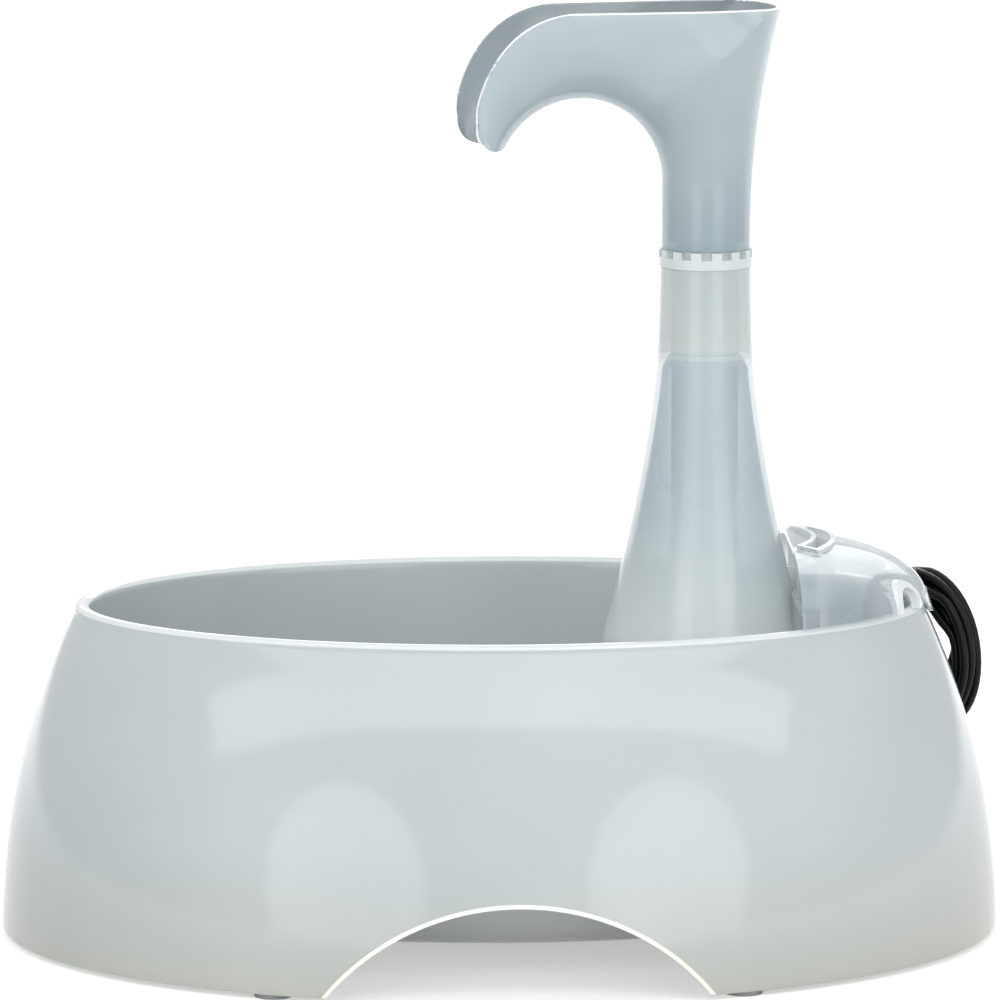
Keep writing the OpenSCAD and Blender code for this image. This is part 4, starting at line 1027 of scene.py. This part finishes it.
# %% Porous finishes
def porous(name, wall, hole, cell_mm, depth_mm, stretch=(1, 1, 1)):
    """A matt finish of cells, which the stretch draws out along one direction."""
    material = finish_of(name, wall, Roughness=0.92)
    link = material.node_tree.links.new
    shader = material.node_tree.nodes["Principled BSDF"]
    place = node(material, "ShaderNodeTexCoord").outputs["Object"]
    drawn = node(material, "ShaderNodeMapping", {"Scale": stretch}, Vector=place)
    cells = node(material, "ShaderNodeTexVoronoi", {"Scale": 1000 / cell_mm, "Randomness": 0.9},
                 Vector=drawn.outputs["Vector"])
    tint = node(material, "ShaderNodeMix", {"data_type": "RGBA"}, Factor=cells.outputs["Distance"])
    tint.inputs[MIX_A].default_value, tint.inputs[MIX_B].default_value = linear(hole), linear(wall)
    link(tint.outputs[MIX_OUT], shader.inputs["Base Color"])
    relief = node(material, "ShaderNodeBump", {"Strength": 0.9, "Distance": depth_mm * MM},
                  Height=cells.outputs["Distance"])
    link(relief.outputs["Normal"], shader.inputs["Normal"])
    return material


# Each row has the colours of walls and holes, and the cells' width and depth in mm.
foam_black = porous("open_cell_foam", "#3a3e40", "#0f1011", 1.1, 0.5)
floss_white = porous("polyester_floss", "#f4f6f3", "#cfd4d0", 1.6, 0.2, (1, 1, 0.12))
carbon_foam = porous("carbon_loaded_foam", "#3b3d40", "#141516", 1.5, 0.4)

# %% [markdown]
# ## Putting it together
# Each new piece rides on the body that carries it and stands for one solid of the model.
# The other solids keep their shapes and only get a finish from their material slot.

# %% Pieces on their bodies
for piece, body, slot, material, stands_for in (
        (bowl, "root", "bowl_plastic", milky_pp, "basin"),
        (tower, "tower", "tower_plastic", clear_pp, "tower"),
        (hood, "hood", "tower_plastic", hood_pp, "hood"),
        (spout, "spout", "spout_plastic", spout_pp, "spout"),
        (collar, "collar", "collar_plastic", collar_pp, "swivel_collar")):
    paint(piece, material)
    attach(piece, body)
    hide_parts(stands_for)

# %% Cord
cord_line.materials.append(pvc_black)
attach(cord, "root")
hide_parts("cord_lead", "cord_coil", "cord_tail")
nodes = frame["nodes"]

# %% Finishes of the other solids
finishes = {
    "bowl_plastic": milky_pp, "tower_plastic": clear_pp, "spout_plastic": spout_pp,
    "collar_plastic": collar_pp, "riser_plastic": riser_pp, "seal_rubber": seal_white,
    "foot_rubber": rubber_grey, "pump_plastic": abs_black, "impeller_plastic": acetal_white,
    "magnet": ferrite, "shaft_ceramic": alumina, "sponge": foam_black, "dial_plastic": dial_grey,
    "filter_plastic": abs_grey, "filter_fibre": floss_white, "carbon": carbon_foam,
    "cord_rubber": pvc_black, "tie_plastic": abs_grey, "plug_metal": nickel}
for part in frame["record"]["subparts"]:
    paint(nodes[part["node"]], finishes[part["material_slot"]])

# %% [markdown]
# ## Floor, light and world
# A white sweep, soft lamps and a pale world: the plain light of a catalogue shot. Gloss
# and see-through plastic see the same white surroundings as the eye does, so that is
# asked of each ray. Further out the floor shines by itself, and near the object it
# keeps the object's shadow.

# %% Floor
FLOOR_LIFT, WORLD_LIGHT = 0.35, 0.5
SHADOW_TO, WHITE_FROM = 0.25, 1.2  # metres from the middle of the bowl


def looking(owner):
    """1 for a ray that looks, mirrors or passes through, and 0 for one that lights."""
    ray = node(owner, "ShaderNodeLightPath").outputs
    total = ray["Is Camera Ray"]
    for way in ("Is Transmission Ray", "Is Glossy Ray"):
        step = node(owner, "ShaderNodeMath", {"operation": "MAXIMUM"}, Value=total)
        owner.node_tree.links.new(ray[way], step.inputs[1])
        total = step.outputs["Value"]
    return total


bpy.ops.object.select_all(action="DESELECT")
bpy.ops.mesh.primitive_plane_add(size=12.0, location=(0, 0, 0))
floor = bpy.context.object
floor.name = "floor"
floor_white = finish_of("floor_white", "#f2f2f2", Roughness=0.9)
shader = floor_white.node_tree.nodes["Principled BSDF"]
glow = node(floor_white, "ShaderNodeMath", {"operation": "MULTIPLY"}, Value=looking(floor_white))
place = node(floor_white, "ShaderNodeTexCoord").outputs["Object"]
away = node(floor_white, "ShaderNodeVectorMath", {"operation": "LENGTH"}, Vector=place)
lift = node(floor_white, "ShaderNodeMapRange",
            {"From Min": SHADOW_TO, "From Max": WHITE_FROM, "To Min": FLOOR_LIFT, "To Max": 1.0},
            Value=away.outputs["Value"])
floor_white.node_tree.links.new(lift.outputs["Result"], glow.inputs[1])
floor_white.node_tree.links.new(glow.outputs["Value"], shader.inputs["Emission Strength"])
shader.inputs["Emission Color"].default_value = linear("#ffffff")
paint(floor, floor_white)

# %% [markdown]
# The world is pure white where it is looked at or mirrored, and gentler as a light. One
# wide softbox hangs over the front, two round ones stand low at the left and right, one
# stands behind, and a narrow strip hangs overhead.

# %% World
world = bpy.context.scene.world or bpy.data.worlds.new("world")
bpy.context.scene.world = world
world.use_nodes = True
sky = world.node_tree.nodes["Background"]
sky.inputs["Color"].default_value = linear("#ffffff")
amount = node(world, "ShaderNodeMapRange", {"To Min": WORLD_LIGHT, "To Max": 1.0}, Value=looking(world))
world.node_tree.links.new(amount.outputs["Result"], sky.inputs["Strength"])

# %% Lamps
# Each row is a name, a place, a shape, two sizes in metres and a power in watts.
LAMPS = [
    ("top_softbox", (0.0, -1.25, 1.4), "RECTANGLE", 4.4, 0.5, 16.5),
    ("left_round", (-0.8, -1.55, 0.3), "ELLIPSE", 0.9, 1.2, 5.2),
    ("right_round", (0.85, -1.5, 0.3), "ELLIPSE", 0.9, 1.2, 5.2),
    ("back_softbox", (0.2, 1.9, 1.1), "RECTANGLE", 1.8, 1.0, 13),
    ("strip", (-0.1, -0.35, 1.8), "RECTANGLE", 1.8, 0.12, 6)]
LAMP_AIM = Vector((0, 0, 0.12))
for name, place, shape, wide, deep, watts in LAMPS:
    bpy.ops.object.light_add(type="AREA", location=place)
    lamp = bpy.context.object
    lamp.name = name
    lamp.data.shape = shape
    lamp.data.size, lamp.data.size_y = wide, deep
    lamp.data.energy = watts
    lamp.rotation_euler = (LAMP_AIM - Vector(place)).to_track_quat("-Z", "Y").to_euler()
bpy.context.scene.view_settings.view_transform = "Standard"
